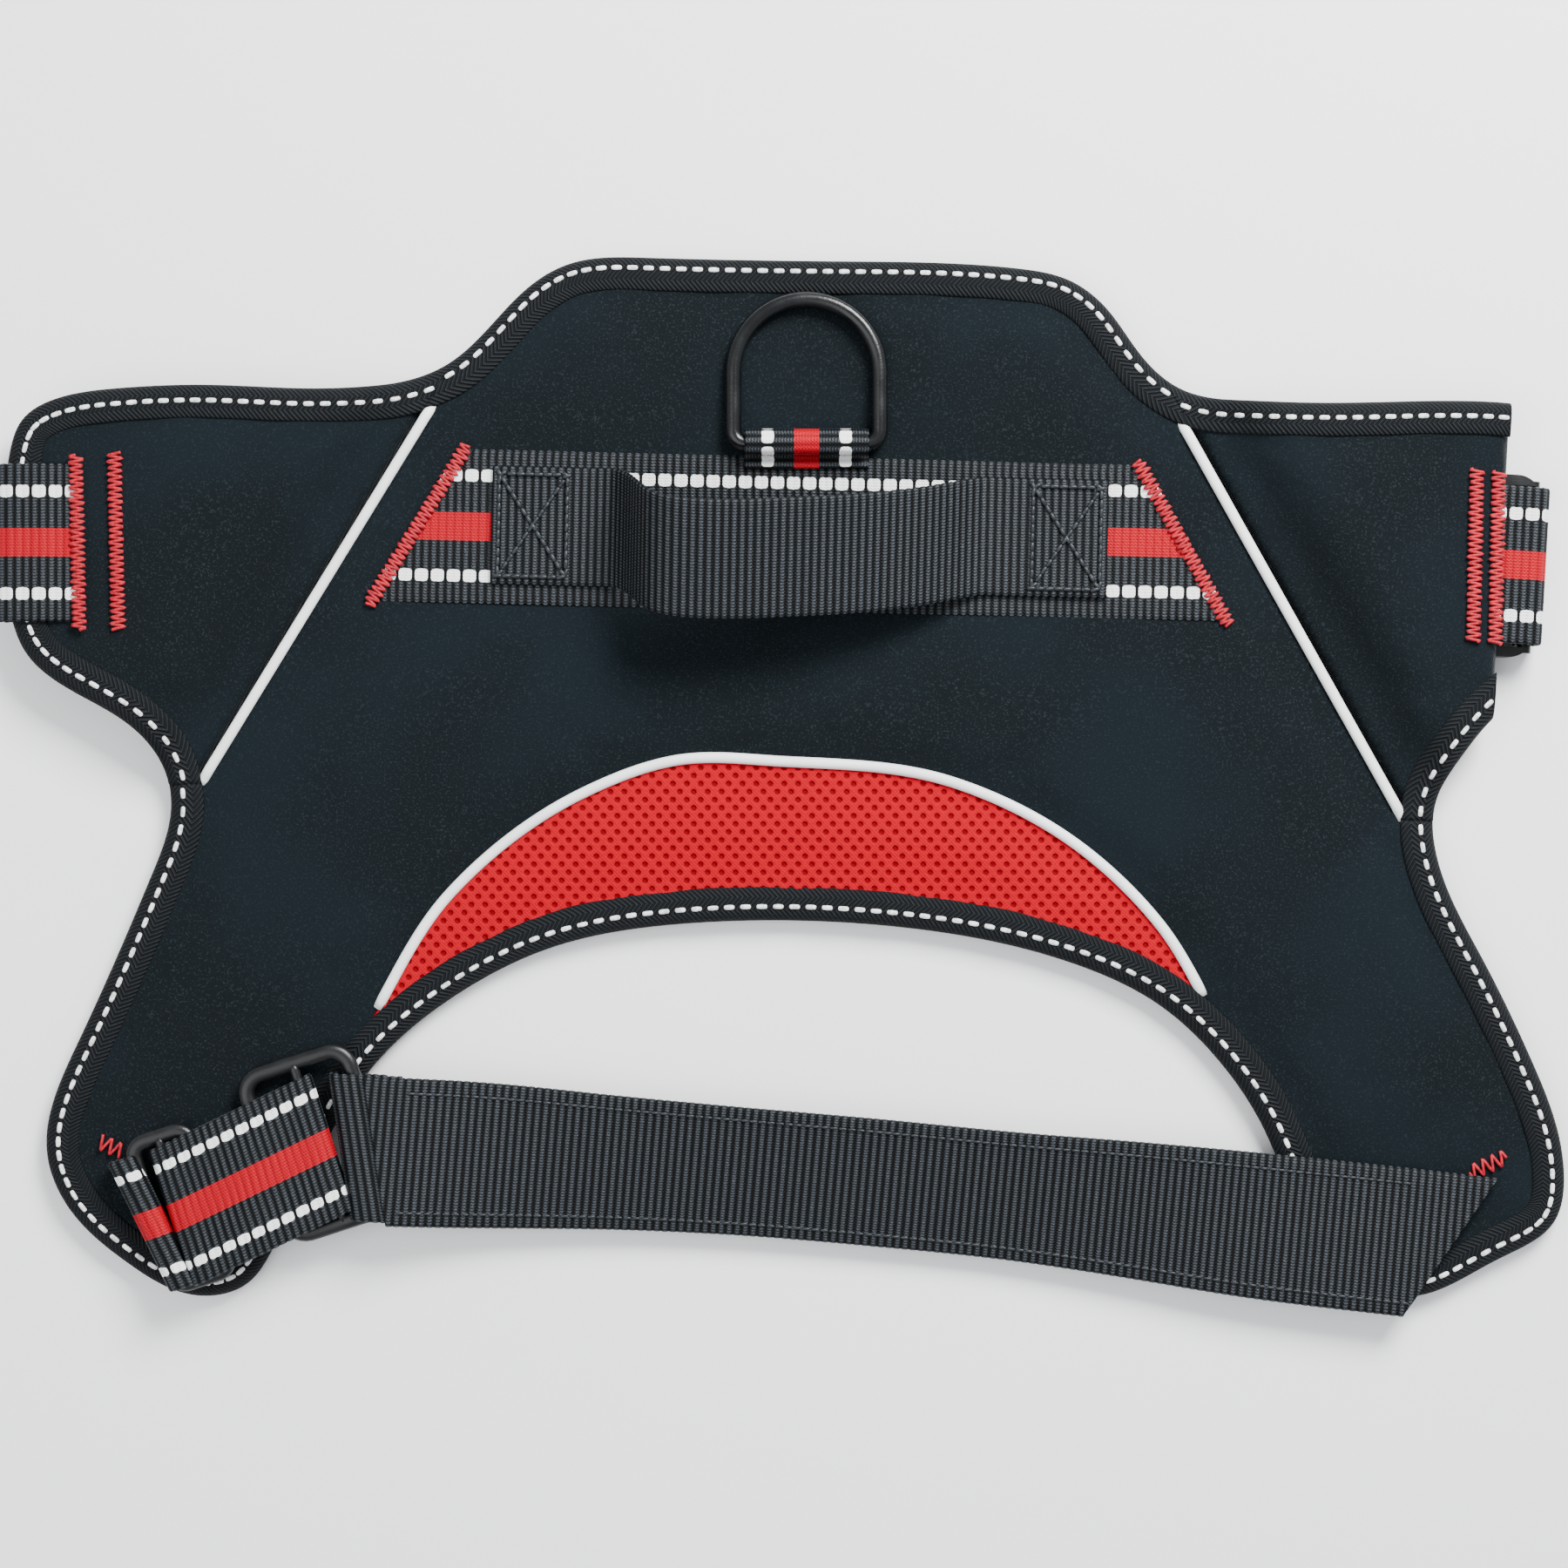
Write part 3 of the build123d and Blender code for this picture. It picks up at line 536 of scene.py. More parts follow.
# ---------------------------------------------------------------- shader wiring
class NodeSheet:
    """Short calls for wiring a node tree."""

    def __init__(self, tree: bpy.types.NodeTree) -> None:
        """Keeps the tree that the calls add to."""
        self.tree = tree

    def node(self, kind: str, settings: Optional[dict[str, Any]] = None, **inputs: Any) -> bpy.types.Node:
        """Adds a node, sets its settings, and sets or links its inputs.

        Args:
            kind: Node type without the ShaderNode prefix.
            settings: Attributes of the node.
            inputs: Input name (underscores for spaces) to a value or a socket.

        Returns:
            The node.
        """
        made = self.tree.nodes.new("ShaderNode" + kind)
        for key, value in (settings or {}).items():
            setattr(made, key, value)
        for key, value in inputs.items():
            self.feed(made.inputs[key.replace("_", " ")], value)
        return made

    def feed(self, slot: Socket, value: Any) -> None:
        """Links a socket into an input, or sets the input's own value."""
        if isinstance(value, bpy.types.NodeSocket):
            self.tree.links.new(value, slot)
        else:
            slot.default_value = value

    def math(self, operation: str, *values: Any) -> Socket:
        """Adds a Math node and returns its output."""
        made = self.node("Math", {"operation": operation})
        for slot, value in zip(made.inputs, values):
            self.feed(slot, value)
        return made.outputs[0]

    def times(self, first: Any, second: Any) -> Socket:
        """Product of two values."""
        return self.math("MULTIPLY", first, second)

    def scaled(self, value: Any, gain: Any, base: Any) -> Socket:
        """Value times gain, plus base."""
        return self.math("MULTIPLY_ADD", value, gain, base)

    def rest(self, share: Any) -> Socket:
        """What a share leaves of 1."""
        return self.math("SUBTRACT", 1.0, share)

    def step(self, value: Any, low: float, high: float) -> Socket:
        """Smooth step of a value from 0 at low to 1 at high."""
        smoothed = {"interpolation_type": "SMOOTHSTEP"}
        return self.node("MapRange", smoothed, Value=value, From_Min=low, From_Max=high).outputs["Result"]

    def mix(self, share: Any, first: Any, second: Any) -> Socket:
        """Mixes two colours and returns the result."""
        made = self.node("Mix", {"data_type": "RGBA"})
        for index, value in ((0, share), (6, first), (7, second)):
            self.feed(made.inputs[index], (*value, 1.0) if isinstance(value, tuple) else value)
        return made.outputs[2]

    def paint(self, shader: bpy.types.Node, colour: Socket, rough: Any = None) -> None:
        """Feeds a shader's colour and, if given, its roughness."""
        self.feed(shader.inputs["Base Color"], colour)
        if rough is not None:
            self.feed(shader.inputs["Roughness"], rough)

    def group(self, effect: "Effect", **inputs: Any) -> bpy.types.Node:
        """Places an effect's node group with its own input values."""
        made = self.tree.nodes.new("ShaderNodeGroup")
        made.node_tree = effect.tree()
        for key, value in inputs.items():
            self.feed(made.inputs[key], value)
        return made

    def place(self) -> Socket:
        """Object coordinates."""
        return self.node("TexCoord").outputs["Object"]

    def noise(self, place: Socket, scale: Any, detail: float) -> Socket:
        """Noise over a place, about 0.5 in the middle."""
        return self.node("TexNoise", Vector=place, Scale=scale, Detail=detail).outputs[0]

    def split(self, place: Socket) -> Sequence[Socket]:
        """The axes of a place."""
        return self.node("SeparateXYZ", Vector=place).outputs

    def on_map(self) -> Sequence[Socket]:
        """The axes of the UV map."""
        return self.split(self.node("UVMap").outputs[0])


class Effect:
    """A shared shader effect, built once as a node group."""

    name = ""
    takes: dict[str, str] = {}
    gives: dict[str, str] = {}

    def tree(self) -> bpy.types.NodeTree:
        """The effect's node group, made on first use."""
        ready = bpy.data.node_groups.get(self.name)
        if ready:
            return ready
        made = bpy.data.node_groups.new(self.name, "ShaderNodeTree")
        for way, sockets in (("INPUT", self.takes), ("OUTPUT", self.gives)):
            for key, kind in sockets.items():
                made.interface.new_socket(name=key, in_out=way, socket_type="NodeSocket" + kind)
        sheet = NodeSheet(made)
        entry = made.nodes.new("NodeGroupInput")
        leave = made.nodes.new("NodeGroupOutput")
        for key, value in self.wire(sheet, {slot.name: slot for slot in entry.outputs if slot.name}).items():
            sheet.feed(leave.inputs[key], value)
        return made

    def wire(self, sheet: NodeSheet, given: dict[str, Socket]) -> dict[str, Socket]:
        """Wires the group's inside; each effect writes its own."""
        raise NotImplementedError


class WeaveEffect(Effect):
    """Over-and-under cloth: crossed waves at the thread pitch, broken up by noise."""

    name = "weave"
    takes = {"Place": "Vector", "Threads": "Float", "Slant": "Float"}
    gives = {"Height": "Float", "Fleck": "Float"}

    def wire(self, sheet: NodeSheet, given: dict[str, Socket]) -> dict[str, Socket]:
        """Height is sin(x)*sin(y) of the slanted place; Fleck is fine noise of single threads."""
        spot = sheet.split(given["Place"])
        x = sheet.times(sheet.scaled(spot[1], given["Slant"], spot[0]), given["Threads"])
        cross = sheet.times(sheet.math("SINE", x), sheet.math("SINE", sheet.times(spot[1], given["Threads"])))
        noise = sheet.noise(given["Place"], 1500.0, 2.0)
        height = sheet.scaled(cross, 0.5, sheet.times(noise, 0.6))
        return {"Height": height, "Fleck": sheet.step(noise, 0.52, 0.72)}


class HandlingEffect(Effect):
    """Slow variation: handling that lightens and dulls a surface in patches."""

    name = "handling"
    takes = {"Place": "Vector", "Size": "Float"}
    gives = {"Patch": "Float"}

    def wire(self, sheet: NodeSheet, given: dict[str, Socket]) -> dict[str, Socket]:
        """Patch is broad noise with its middle stretched."""
        return {"Patch": sheet.step(sheet.noise(given["Place"], given["Size"], 4.0), 0.35, 0.7)}


WEAVE = WeaveEffect()
HANDLING = HandlingEffect()


def shade(tint: Colour, gain: float, lift: float = 0.0) -> Colour:
    """A colour with each channel scaled, then raised, and kept within 1."""
    return tuple(min(1.0, channel * gain + lift) for channel in tint)


@dataclass(frozen=True)
class Finish:
    """A material of this object; each kind wires its own surface.

    GLOSS is its specular level, RELIEF the depth (in metres) and strength of its bump, THREADS the
    phase per metre of its fine weave. Fields hold the plain values that the shader's sockets take.
    """

    GLOSS: ClassVar[float] = 0.12
    RELIEF: ClassVar[tuple[float, float]] = (0.0002, 0.8)
    THREADS: ClassVar[float] = 5600.0
    name: str
    tint: Colour
    rough: float = 0.8
    slot: str = "cover"

    def material(self) -> bpy.types.Material:
        """The finish as a material, made on first use."""
        title = self.name + "_finish"
        ready = bpy.data.materials.get(title)
        if ready:
            return ready
        made = bpy.data.materials.new(title)
        made.use_nodes = True
        made.node_tree.nodes.clear()
        sheet = NodeSheet(made.node_tree)
        shader = sheet.node("BsdfPrincipled", Roughness=self.rough, Specular_IOR_Level=self.GLOSS)
        leave = sheet.node("OutputMaterial", Surface=shader.outputs[0])
        leave.name = "Material Output"
        depth, strength = self.RELIEF
        bump = sheet.node("Bump", Height=self.wire(sheet, shader), Distance=depth, Strength=strength)
        sheet.feed(shader.inputs["Normal"], bump.outputs[0])
        return made

    def wire(self, sheet: NodeSheet, shader: bpy.types.Node) -> Socket:
        """Feeds the colour and gives the bump's height; each finish writes its own."""
        raise NotImplementedError

    def weave(self, sheet: NodeSheet, slant: float = 0.0) -> Sequence[Socket]:
        """Height and fleck of the finish's fine weave."""
        return sheet.group(WEAVE, Place=sheet.place(), Threads=self.THREADS, Slant=slant).outputs

    def worn(self, sheet: NodeSheet, size: float) -> Socket:
        """Patches of handling, about as many to the metre as size."""
        return sheet.group(HANDLING, Place=sheet.place(), Size=size).outputs["Patch"]

    def dress(self, piece: bpy.types.Object) -> bpy.types.Object:
        """Puts the finish on a piece."""
        piece.data.materials.clear()
        piece.data.materials.append(self.material())
        return piece


@dataclass(frozen=True)
class WovenCloth(Finish):
    """Matt woven polyester with a faint sheen and single lighter threads."""

    RELIEF: ClassVar[tuple[float, float]] = (0.00022, 0.8)
    THREADS: ClassVar[float] = 7400.0
    sheen: float = 0.06

    def wire(self, sheet: NodeSheet, shader: bpy.types.Node) -> Socket:
        """Flecked colour, and roughness that varies in patches."""
        height, fleck = self.weave(sheet, 0.5)
        patch = self.worn(sheet, 14.0)
        flecked = sheet.mix(sheet.times(fleck, 0.6), self.tint, shade(self.tint, 4.0, 0.008))
        colour = sheet.mix(sheet.times(patch, 0.55), flecked, shade(self.tint, 2.6))
        sheet.paint(shader, colour, sheet.scaled(patch, 0.1, self.rough))
        sheet.feed(shader.inputs["Sheen Weight"], self.sheen)
        sheet.feed(shader.inputs["Sheen Roughness"], 0.4)
        return height


@dataclass(frozen=True)
class HoledMesh(Finish):
    """Spacer mesh with staggered round holes, darkened inside with painted shade."""

    GLOSS: ClassVar[float] = 0.05
    RELIEF: ClassVar[tuple[float, float]] = (0.0004, 0.9)
    THREADS: ClassVar[float] = 5200.0
    STRETCH: ClassVar[float] = 1.16
    STAGGER: ClassVar[tuple[float, float]] = (0.0, 0.5)
    pitch: float = 4.5
    # painted shade: the colour inside the holes
    deep: Colour = (0.12, 0.0, 0.004)

    def wire(self, sheet: NodeSheet, shader: bpy.types.Node) -> Socket:
        """Distance to two staggered lattices gives the holes; fine weave fills the rest."""
        spot = sheet.split(sheet.place())
        near = []
        for shift in self.STAGGER:
            cells = []
            for axis, stretch in enumerate((1.0, self.STRETCH)):
                turn = sheet.math("FRACT", sheet.scaled(spot[axis], 1 / (self.pitch * stretch * MM), shift))
                cells.append(sheet.times(sheet.math("SUBTRACT", turn, 0.5), stretch))
            near.append(sheet.math("ADD", *(sheet.times(cell, cell) for cell in cells)))
        hole = sheet.rest(sheet.step(sheet.math("SQRT", sheet.math("MINIMUM", *near)), 0.12, 0.25))
        height, fleck = self.weave(sheet)
        face = sheet.mix(sheet.times(fleck, 0.5), self.tint, shade(self.tint, 1.3))
        # painted shade: the holes take the darker deep colour
        sheet.paint(shader, sheet.mix(hole, face, self.deep))
        return sheet.math("SUBTRACT", sheet.times(height, 0.3), hole)


@dataclass(frozen=True)
class HerringboneTape(Finish):
    """Folded edge tape: slanted ribs that turn back along the tape's middle."""

    RELIEF: ClassVar[tuple[float, float]] = (0.00025, 0.9)
    THREADS: ClassVar[float] = 6100.0
    pitch: float = 1.6
    fold: float = 4.2

    def wire(self, sheet: NodeSheet, shader: bpy.types.Node) -> Socket:
        """Ribs are a wave of u plus the distance of v from the tape's turn lines; their crests get a painted highlight.
        """
        spot = sheet.on_map()
        slant = sheet.scaled(sheet.math("PINGPONG", spot[1], self.fold * MM), 0.9, spot[0])
        rib = sheet.math("SINE", sheet.times(slant, 2 * np.pi / (self.pitch * MM)))
        height, fleck = self.weave(sheet)
        # painted highlight: the rib crests are mixed towards a lighter colour, broken by flecks
        share = sheet.times(sheet.scaled(fleck, 0.5, 0.4), sheet.step(rib, 0.0, 1.0))
        sheet.paint(shader, sheet.mix(share, self.tint, shade(self.tint, 3.2, 0.008)))
        return sheet.scaled(height, 0.25, rib)


class Stripes(Enum):
    """Pattern woven into a strap."""

    PLAIN = "plain"
    RED_AND_DASHES = "red and dashes"


@dataclass(frozen=True)
class StrapWeave(Finish):
    """Ribbed webbing; the striped kind has a red middle and two rows of raised white dashes.

    The map's u runs along the strap and v across it from the middle, both in metres. Sizes are
    millimetres; a dash covers dash_slots ribs.
    """

    RELIEF: ClassVar[tuple[float, float]] = (0.00016, 0.8)
    # painted shade: the colour laid in the grooves between ribs
    GROOVE_SHADE: ClassVar[Colour] = (0.0004, 0.0006, 0.0008)
    YARN: ClassVar[float] = 0.95
    stripes: Stripes = Stripes.PLAIN
    rib: float = 2.6
    dash_rows: tuple[float, float] = (-15.9, 16.5)
    red_half: float = 4.7
    dash_half: float = 2.0
    dash_slots: float = 2.0
    red: Colour = (0.33, 0.0, 0.008)
    white: Colour = (0.86, 0.87, 0.86)
    # painted shade: the dashes' colour down in the rib grooves
    shaded_white: Colour = (0.5, 0.52, 0.53)

    def wire(self, sheet: NodeSheet, shader: bpy.types.Node) -> Socket:
        """Black ground with painted shade in the rib valleys and a painted highlight on the crests, then the red band
        and the dashes over it.
        """
        along, across = sheet.on_map()[:2]
        wave = sheet.math("ABSOLUTE", sheet.math("SINE", sheet.times(along, np.pi / (self.rib * MM))))
        valley = sheet.rest(sheet.step(wave, 0.1, 0.6))
        yarn = sheet.math("SINE", sheet.times(across, 2 * np.pi / (self.YARN * MM)))
        height, fleck = self.weave(sheet)
        fibre = sheet.scaled(sheet.step(yarn, -0.6, 0.6), 0.55, sheet.scaled(fleck, 0.35, 0.1))
        # painted highlight: the rib crests take a lighter colour, broken by yarn lines and flecks
        thread = sheet.times(fibre, sheet.step(wave, 0.55, 0.98))
        # painted shade: the ground darkens to the groove colour in the rib valleys
        colour = sheet.mix(thread, sheet.mix(valley, self.tint, self.GROOVE_SHADE), shade(self.tint, 9.0, 0.032))
        if self.stripes is Stripes.RED_AND_DASHES:
            colour = self.stripe(sheet, colour, along, across, valley)
        sheet.paint(shader, colour, sheet.scaled(valley, 0.2, self.rough))
        return sheet.scaled(yarn, 0.35, height)

    def stripe(self, sheet: NodeSheet, ground: Socket, along: Socket, across: Socket,
               valley: Socket) -> Socket:
        """Lays the red band and the white dashes over the ground colour, both with painted shade in the rib grooves.

        Args:
            sheet: Where the nodes go.
            ground: Colour underneath.
            along: Map place along the strap.
            across: Map place across the strap.
            valley: 1 in the grooves between ribs, where the shade is painted.

        Returns:
            The finished colour.
        """
        off = sheet.math("ABSOLUTE", across)
        band = sheet.rest(sheet.step(off, (self.red_half - 0.3) * MM, self.red_half * MM))
        # painted shade: the red darkens in the rib grooves
        colour = sheet.mix(band, ground, sheet.mix(sheet.times(valley, 0.6), self.red, shade(self.red, 0.55)))
        turn = sheet.math("FRACT", sheet.math("DIVIDE", along, self.rib * self.dash_slots * MM))
        lengthwise = sheet.math("ABSOLUTE", sheet.math("SUBTRACT", turn, 0.5))
        endwise = sheet.math("POWER", sheet.math("DIVIDE", lengthwise, 0.41), 4.0)
        # painted shade: the white darkens in the rib grooves
        white = sheet.mix(sheet.times(valley, 0.25), self.white, self.shaded_white)
        for row in self.dash_rows:
            gap = sheet.math("ABSOLUTE", sheet.math("SUBTRACT", across, row * MM))
            edgewise = sheet.math("POWER", sheet.math("DIVIDE", gap, self.dash_half * MM), 4.0)
            inside = sheet.rest(sheet.step(sheet.math("ADD", endwise, edgewise), 0.75, 1.15))
            colour = sheet.mix(inside, colour, white)
        return colour


@dataclass(frozen=True)
class SewingThread(Finish):
    """Shiny twisted thread with a slight change of shade from stitch to stitch."""

    GLOSS: ClassVar[float] = 0.25
    RELIEF: ClassVar[tuple[float, float]] = (0.0002, 0.7)

    def wire(self, sheet: NodeSheet, shader: bpy.types.Node) -> Socket:
        """Fine noise shades the thread and bumps its twist."""
        noise = sheet.noise(sheet.place(), 900.0, 2.0)
        sheet.paint(shader, sheet.mix(sheet.step(noise, 0.3, 0.65), shade(self.tint, 0.5), self.tint))
        return noise


@dataclass(frozen=True)
class GlassBeadPiping(Finish):
    """Reflective piping: off-white film over a cord, with fine beads."""

    GLOSS: ClassVar[float] = 0.5
    RELIEF: ClassVar[tuple[float, float]] = (0.0001, 0.5)

    def wire(self, sheet: NodeSheet, shader: bpy.types.Node) -> Socket:
        """Slow noise for soiling, bead noise for grain."""
        soiled = sheet.times(self.worn(sheet, 60.0), 0.5)
        sheet.paint(shader, sheet.mix(soiled, self.tint, shade(self.tint, 0.8)))
        return sheet.noise(sheet.place(), 2600.0, 1.0)


@dataclass(frozen=True)
class MouldedPlastic(Finish):
    """Satin black moulded plastic with a spark-eroded grain and handling marks."""

    GLOSS: ClassVar[float] = 0.32
    RELIEF: ClassVar[tuple[float, float]] = (0.00008, 0.5)
    grain: float = 2400.0

    def wire(self, sheet: NodeSheet, shader: bpy.types.Node) -> Socket:
        """Shade and roughness follow the handling patches."""
        patch = self.worn(sheet, 90.0)
        colour = sheet.mix(sheet.times(patch, 0.5), self.tint, shade(self.tint, 2.2, 0.001))
        sheet.paint(shader, colour, sheet.scaled(patch, 0.14, self.rough))
        return sheet.noise(sheet.place(), self.grain, 2.0)


def webbing(name: str, **changes: Any) -> StrapWeave:
    """Striped black webbing with some of its fields changed."""
    return StrapWeave(name, BLACK_YARN, 0.5, "striped_webbing", Stripes.RED_AND_DASHES, **changes)


BLACK_YARN = (0.003, 0.004, 0.005)
COVER = WovenCloth("cover_cloth", (0.0022, 0.0042, 0.0056), 0.9, "cover")
# the last colour of each mesh is the painted shade inside its holes
LINING = HoledMesh("lining_mesh", (0.02, 0.021, 0.023), 0.85, "lining", 3.4, (0.004, 0.004, 0.005))
RED_MESH = HoledMesh("red_air_mesh", (0.33, 0.0, 0.008), 0.85, "red_mesh", 4.5, (0.15, 0.0, 0.003))
TAPE = HerringboneTape("edge_tape", (0.004, 0.005, 0.006), 0.75, "binding")
STRIPED = webbing("striped_webbing")
SIDE_STRIPED = webbing("side_striped_webbing", dash_rows=(-16.4, 16.4))
LOOP_STRIPED = webbing("loop_striped_webbing", dash_rows=(-12.5, 12.5), red_half=4.2)
CHEST_STRIPED = webbing("chest_striped_webbing", dash_half=1.55)
PLAIN = StrapWeave("plain_webbing", BLACK_YARN, 0.5, "plain_webbing")
RED_THREAD = SewingThread("red_thread", (0.42, 0.01, 0.022), 0.6, "red_thread")
BLACK_THREAD = SewingThread("black_thread", (0.02, 0.024, 0.028), 0.4, "black_thread")
WHITE_THREAD = SewingThread("reflective_thread", (0.9, 0.91, 0.9), 0.55, "binding")
PIPING = GlassBeadPiping("reflective_piping", (0.85, 0.86, 0.85), 0.5, "reflective_piping")
PLASTIC = MouldedPlastic("satin_plastic", (0.0035, 0.004, 0.0045), 0.3, "black_plastic")
COATED = MouldedPlastic("coated_ring", (0.0025, 0.003, 0.0035), 0.22, "coated_metal", 1200.0)


# ---------------------------------------------------------------- padded panels
@dataclass
class Hold:
    """A line that draws the cover down: within reach of it the puff fades to the given depth."""

    line: Points
    reach: float
    depth: float


@dataclass
class ClothRun:
    """Cloth simulation of a cover that is held along its seams while the foam pushes it up."""

    pressure: float = 2.4
    growth: float = 0.02
    frames: int = 22
    cap: float = 1.5

    def settle(self, spots: Points, cells: Points, held: Points) -> Points:
        """Runs the simulation on a flat sheet and gives the height of every point.

        Args:
            spots: Plan points of a regular lattice.
            cells: Corner indices of the cells that are cloth.
            held: Whether a point is sewn down.

        Returns:
            Heights in millimetres, levelled off towards the cap; 0 where there is no cloth.
        """
        used, corners = np.unique(cells.reshape(-1), return_inverse=True)
        flat_sheet = np.column_stack([spots[used], np.zeros(len(used))])
        sheet = build_mesh("cover_rehearsal", flat_sheet, corners.reshape(-1), np.full(len(cells), 4),
                           closed=False)
        sheet.vertex_groups.new(name="held").add(np.flatnonzero(held[used]).tolist(), 1.0, "REPLACE")
        cloth = sheet.modifiers.new("cloth", "CLOTH")
        self.set_cloth(cloth.settings)
        cloth.point_cache.frame_end = self.frames
        scene = bpy.context.scene
        for moment in range(1, self.frames + 1):
            scene.frame_set(moment)
        settled = sheet.evaluated_get(bpy.context.evaluated_depsgraph_get()).to_mesh()
        flown = np.empty(len(used) * 3, np.float32)
        settled.vertices.foreach_get("co", flown)
        scene.frame_set(1)
        bpy.data.objects.remove(sheet)
        heights = np.zeros(len(spots))
        rise = flown.reshape(-1, 3)[:, 2] / MM
        heights[used] = self.cap * np.tanh(rise / self.cap)
        log.info("cover settled: %d points, highest %.2f mm", len(used), rise.max())
        return heights

    def set_cloth(self, settings: Any) -> None:
        """Sets the cloth of a stout polyester cover, pushed up without gravity."""
        settings.quality = 6
        settings.mass = 0.12
        settings.air_damping = 4.0
        settings.tension_stiffness = 30.0
        settings.compression_stiffness = 30.0
        settings.shear_stiffness = 12.0
        settings.bending_stiffness = 1.2
        settings.vertex_group_mass = "held"
        settings.use_pressure = True
        settings.uniform_pressure_force = self.pressure
        settings.shrink_min = -self.growth
        settings.effector_weights.gravity = 0.0


@dataclass
class PaddedPanel:
    """Quilted panel as one closed pad over a lattice clipped to its plan.

    Top height = edge level + puff*(1 - exp(-(d/spread)^2)) - holds, with d the distance to the edge;
    both faces round into each other at the edge over the roll.
    """

    name: str
    edge: Points
    pitch: float = 2.0
    low: float = 0.9
    high: float = COVER_TOP
    puff: float = 1.5
    spread: float = 24.0
    roll: float = 3.4
    holds: list[Hold] = field(default_factory=list)
    lift: Lift = flat
    dimple: float = 0.0
    ripple: float = 0.25
    sunk: Optional[Points] = None
    cloth: Optional[ClothRun] = None
    tape_room: bool = True
    top: Finish = COVER
    under: Finish = LINING

    def build(self) -> bpy.types.Object:
        """Makes the pad.

        Returns:
            The new object.
        """
        spots, cells, rim, _ = self.lattice(self.pitch)
        loop = closed_up(self.edge)
        depth = np.where(rim, 0.0, distance_to(spots, loop))
        crown = self.puff * (1 - np.exp(-(depth / self.spread) ** 2)) + self.wrinkle(spots, depth)
        if self.cloth:
            crown = crown + self.draped(spots)
        if self.tape_room:
            crown = crown * (1 - np.exp(-(np.maximum(depth - TAPE_COVERS, 0) / TAPE_FADE) ** 2))
        for hold in self.holds:
            away = distance_to(spots, hold.line)
            crown = crown * (1 - np.exp(-(away / hold.reach) ** 2))
            crown = crown - hold.depth * np.exp(-(away / (hold.reach * 0.35)) ** 2)
        if self.dimple:
            crown = crown - self.dimple * self.holes(spots)
        if self.sunk is not None:
            within = distance_to(spots, closed_up(self.sunk)) * is_inside(spots, self.sunk)
            crown = np.where(within > 0, np.minimum(crown, 0.0) - np.minimum(within / SUNK_RAMP, 1), crown)
        rounding = np.sqrt(np.clip(1 - (1 - np.minimum(depth, self.roll) / self.roll) ** 2, 0, 1))
        middle = (self.low + self.high) / 2
        raised = self.lift(spots)
        top = raised + middle + (self.high + crown - middle) * rounding
        under = raised + middle + (self.low - middle) * rounding
        cells = cells[~rim[cells].all(axis=1)]
        count = len(spots)
        twin = np.arange(count) + np.where(rim, 0, count)
        points = np.vstack([np.column_stack([spots, top]), np.column_stack([spots, under])])
        faces = np.vstack([cells, twin[cells][:, ::-1]])
        used, corners = np.unique(faces.reshape(-1), return_inverse=True)
        piece = build_mesh(self.name, points[used], corners.reshape(-1), np.full(len(faces), 4))
        self.top.dress(piece)
        piece.data.materials.append(self.under.material())
        piece.data.polygons.foreach_set("material_index", np.repeat([0, 1], len(cells)))
        return piece

    def draped(self, spots: Points, pitch: float = 4.5) -> Points:
        """Heights of the simulated cover, read between the points of its coarse lattice.

        Args:
            spots: Plan points of the fine lattice.
            pitch: Cell size of the coarse one.

        Returns:
            One height for each fine point: the weighted mean of the four coarse points round it.
        """
        coarse, cells, rim, columns = self.lattice(pitch)
        held = rim.copy()
        for hold in self.holds:
            if hold.depth:
                held |= distance_to(coarse, hold.line) < pitch * 0.6
        heights = self.cloth.settle(coarse, cells, held).reshape(-1, columns)
        place = (spots - (self.edge.min(axis=0) - pitch)) / pitch
        low = np.floor(place).astype(int)
        low = np.clip(low, 0, np.array([columns - 2, heights.shape[0] - 2]))
        x, y = np.clip(place - low, 0, 1).T
        c, r = low.T
        under = heights[r, c] * (1 - x) + heights[r, c + 1] * x
        over = heights[r + 1, c] * (1 - x) + heights[r + 1, c + 1] * x
        return under * (1 - y) + over * y

    def lattice(self, pitch: float) -> tuple[Points, Points, Points, int]:
        """Square lattice clipped to the plan, its outermost points pulled onto the edge.

        Args:
            pitch: Cell size.

        Returns:
            Plan points, the corner indices of each cell, whether a point is on the rim, and the
            number of columns.
        """
        low, high = self.edge.min(axis=0) - pitch, self.edge.max(axis=0) + pitch
        columns, rows = np.ceil((high - low) / pitch).astype(int) + 1
        x, y = np.meshgrid(low[0] + np.arange(columns) * pitch, low[1] + np.arange(rows) * pitch)
        spots = np.column_stack([x.ravel(), y.ravel()])
        loop = closed_up(self.edge)
        signed = distance_to(spots, loop) * np.where(is_inside(spots, self.edge), 1, -1)
        r, c = np.meshgrid(np.arange(rows - 1), np.arange(columns - 1), indexing="ij")
        first = (r * columns + c).ravel()
        cells = np.stack([first, first + 1, first + columns + 1, first + columns], axis=1)
        kept = cells[(signed[cells] > -0.3 * pitch).all(axis=1)]
        edges = np.sort(np.stack([kept, np.roll(kept, -1, axis=1)], axis=-1).reshape(-1, 2), axis=1)
        single, times = np.unique(edges, axis=0, return_counts=True)
        rim = np.zeros(len(spots), bool)
        rim[single[times == 1].reshape(-1)] = True
        spots[rim] = nearest_on(spots[rim], loop)[0]
        return spots, kept, rim, columns

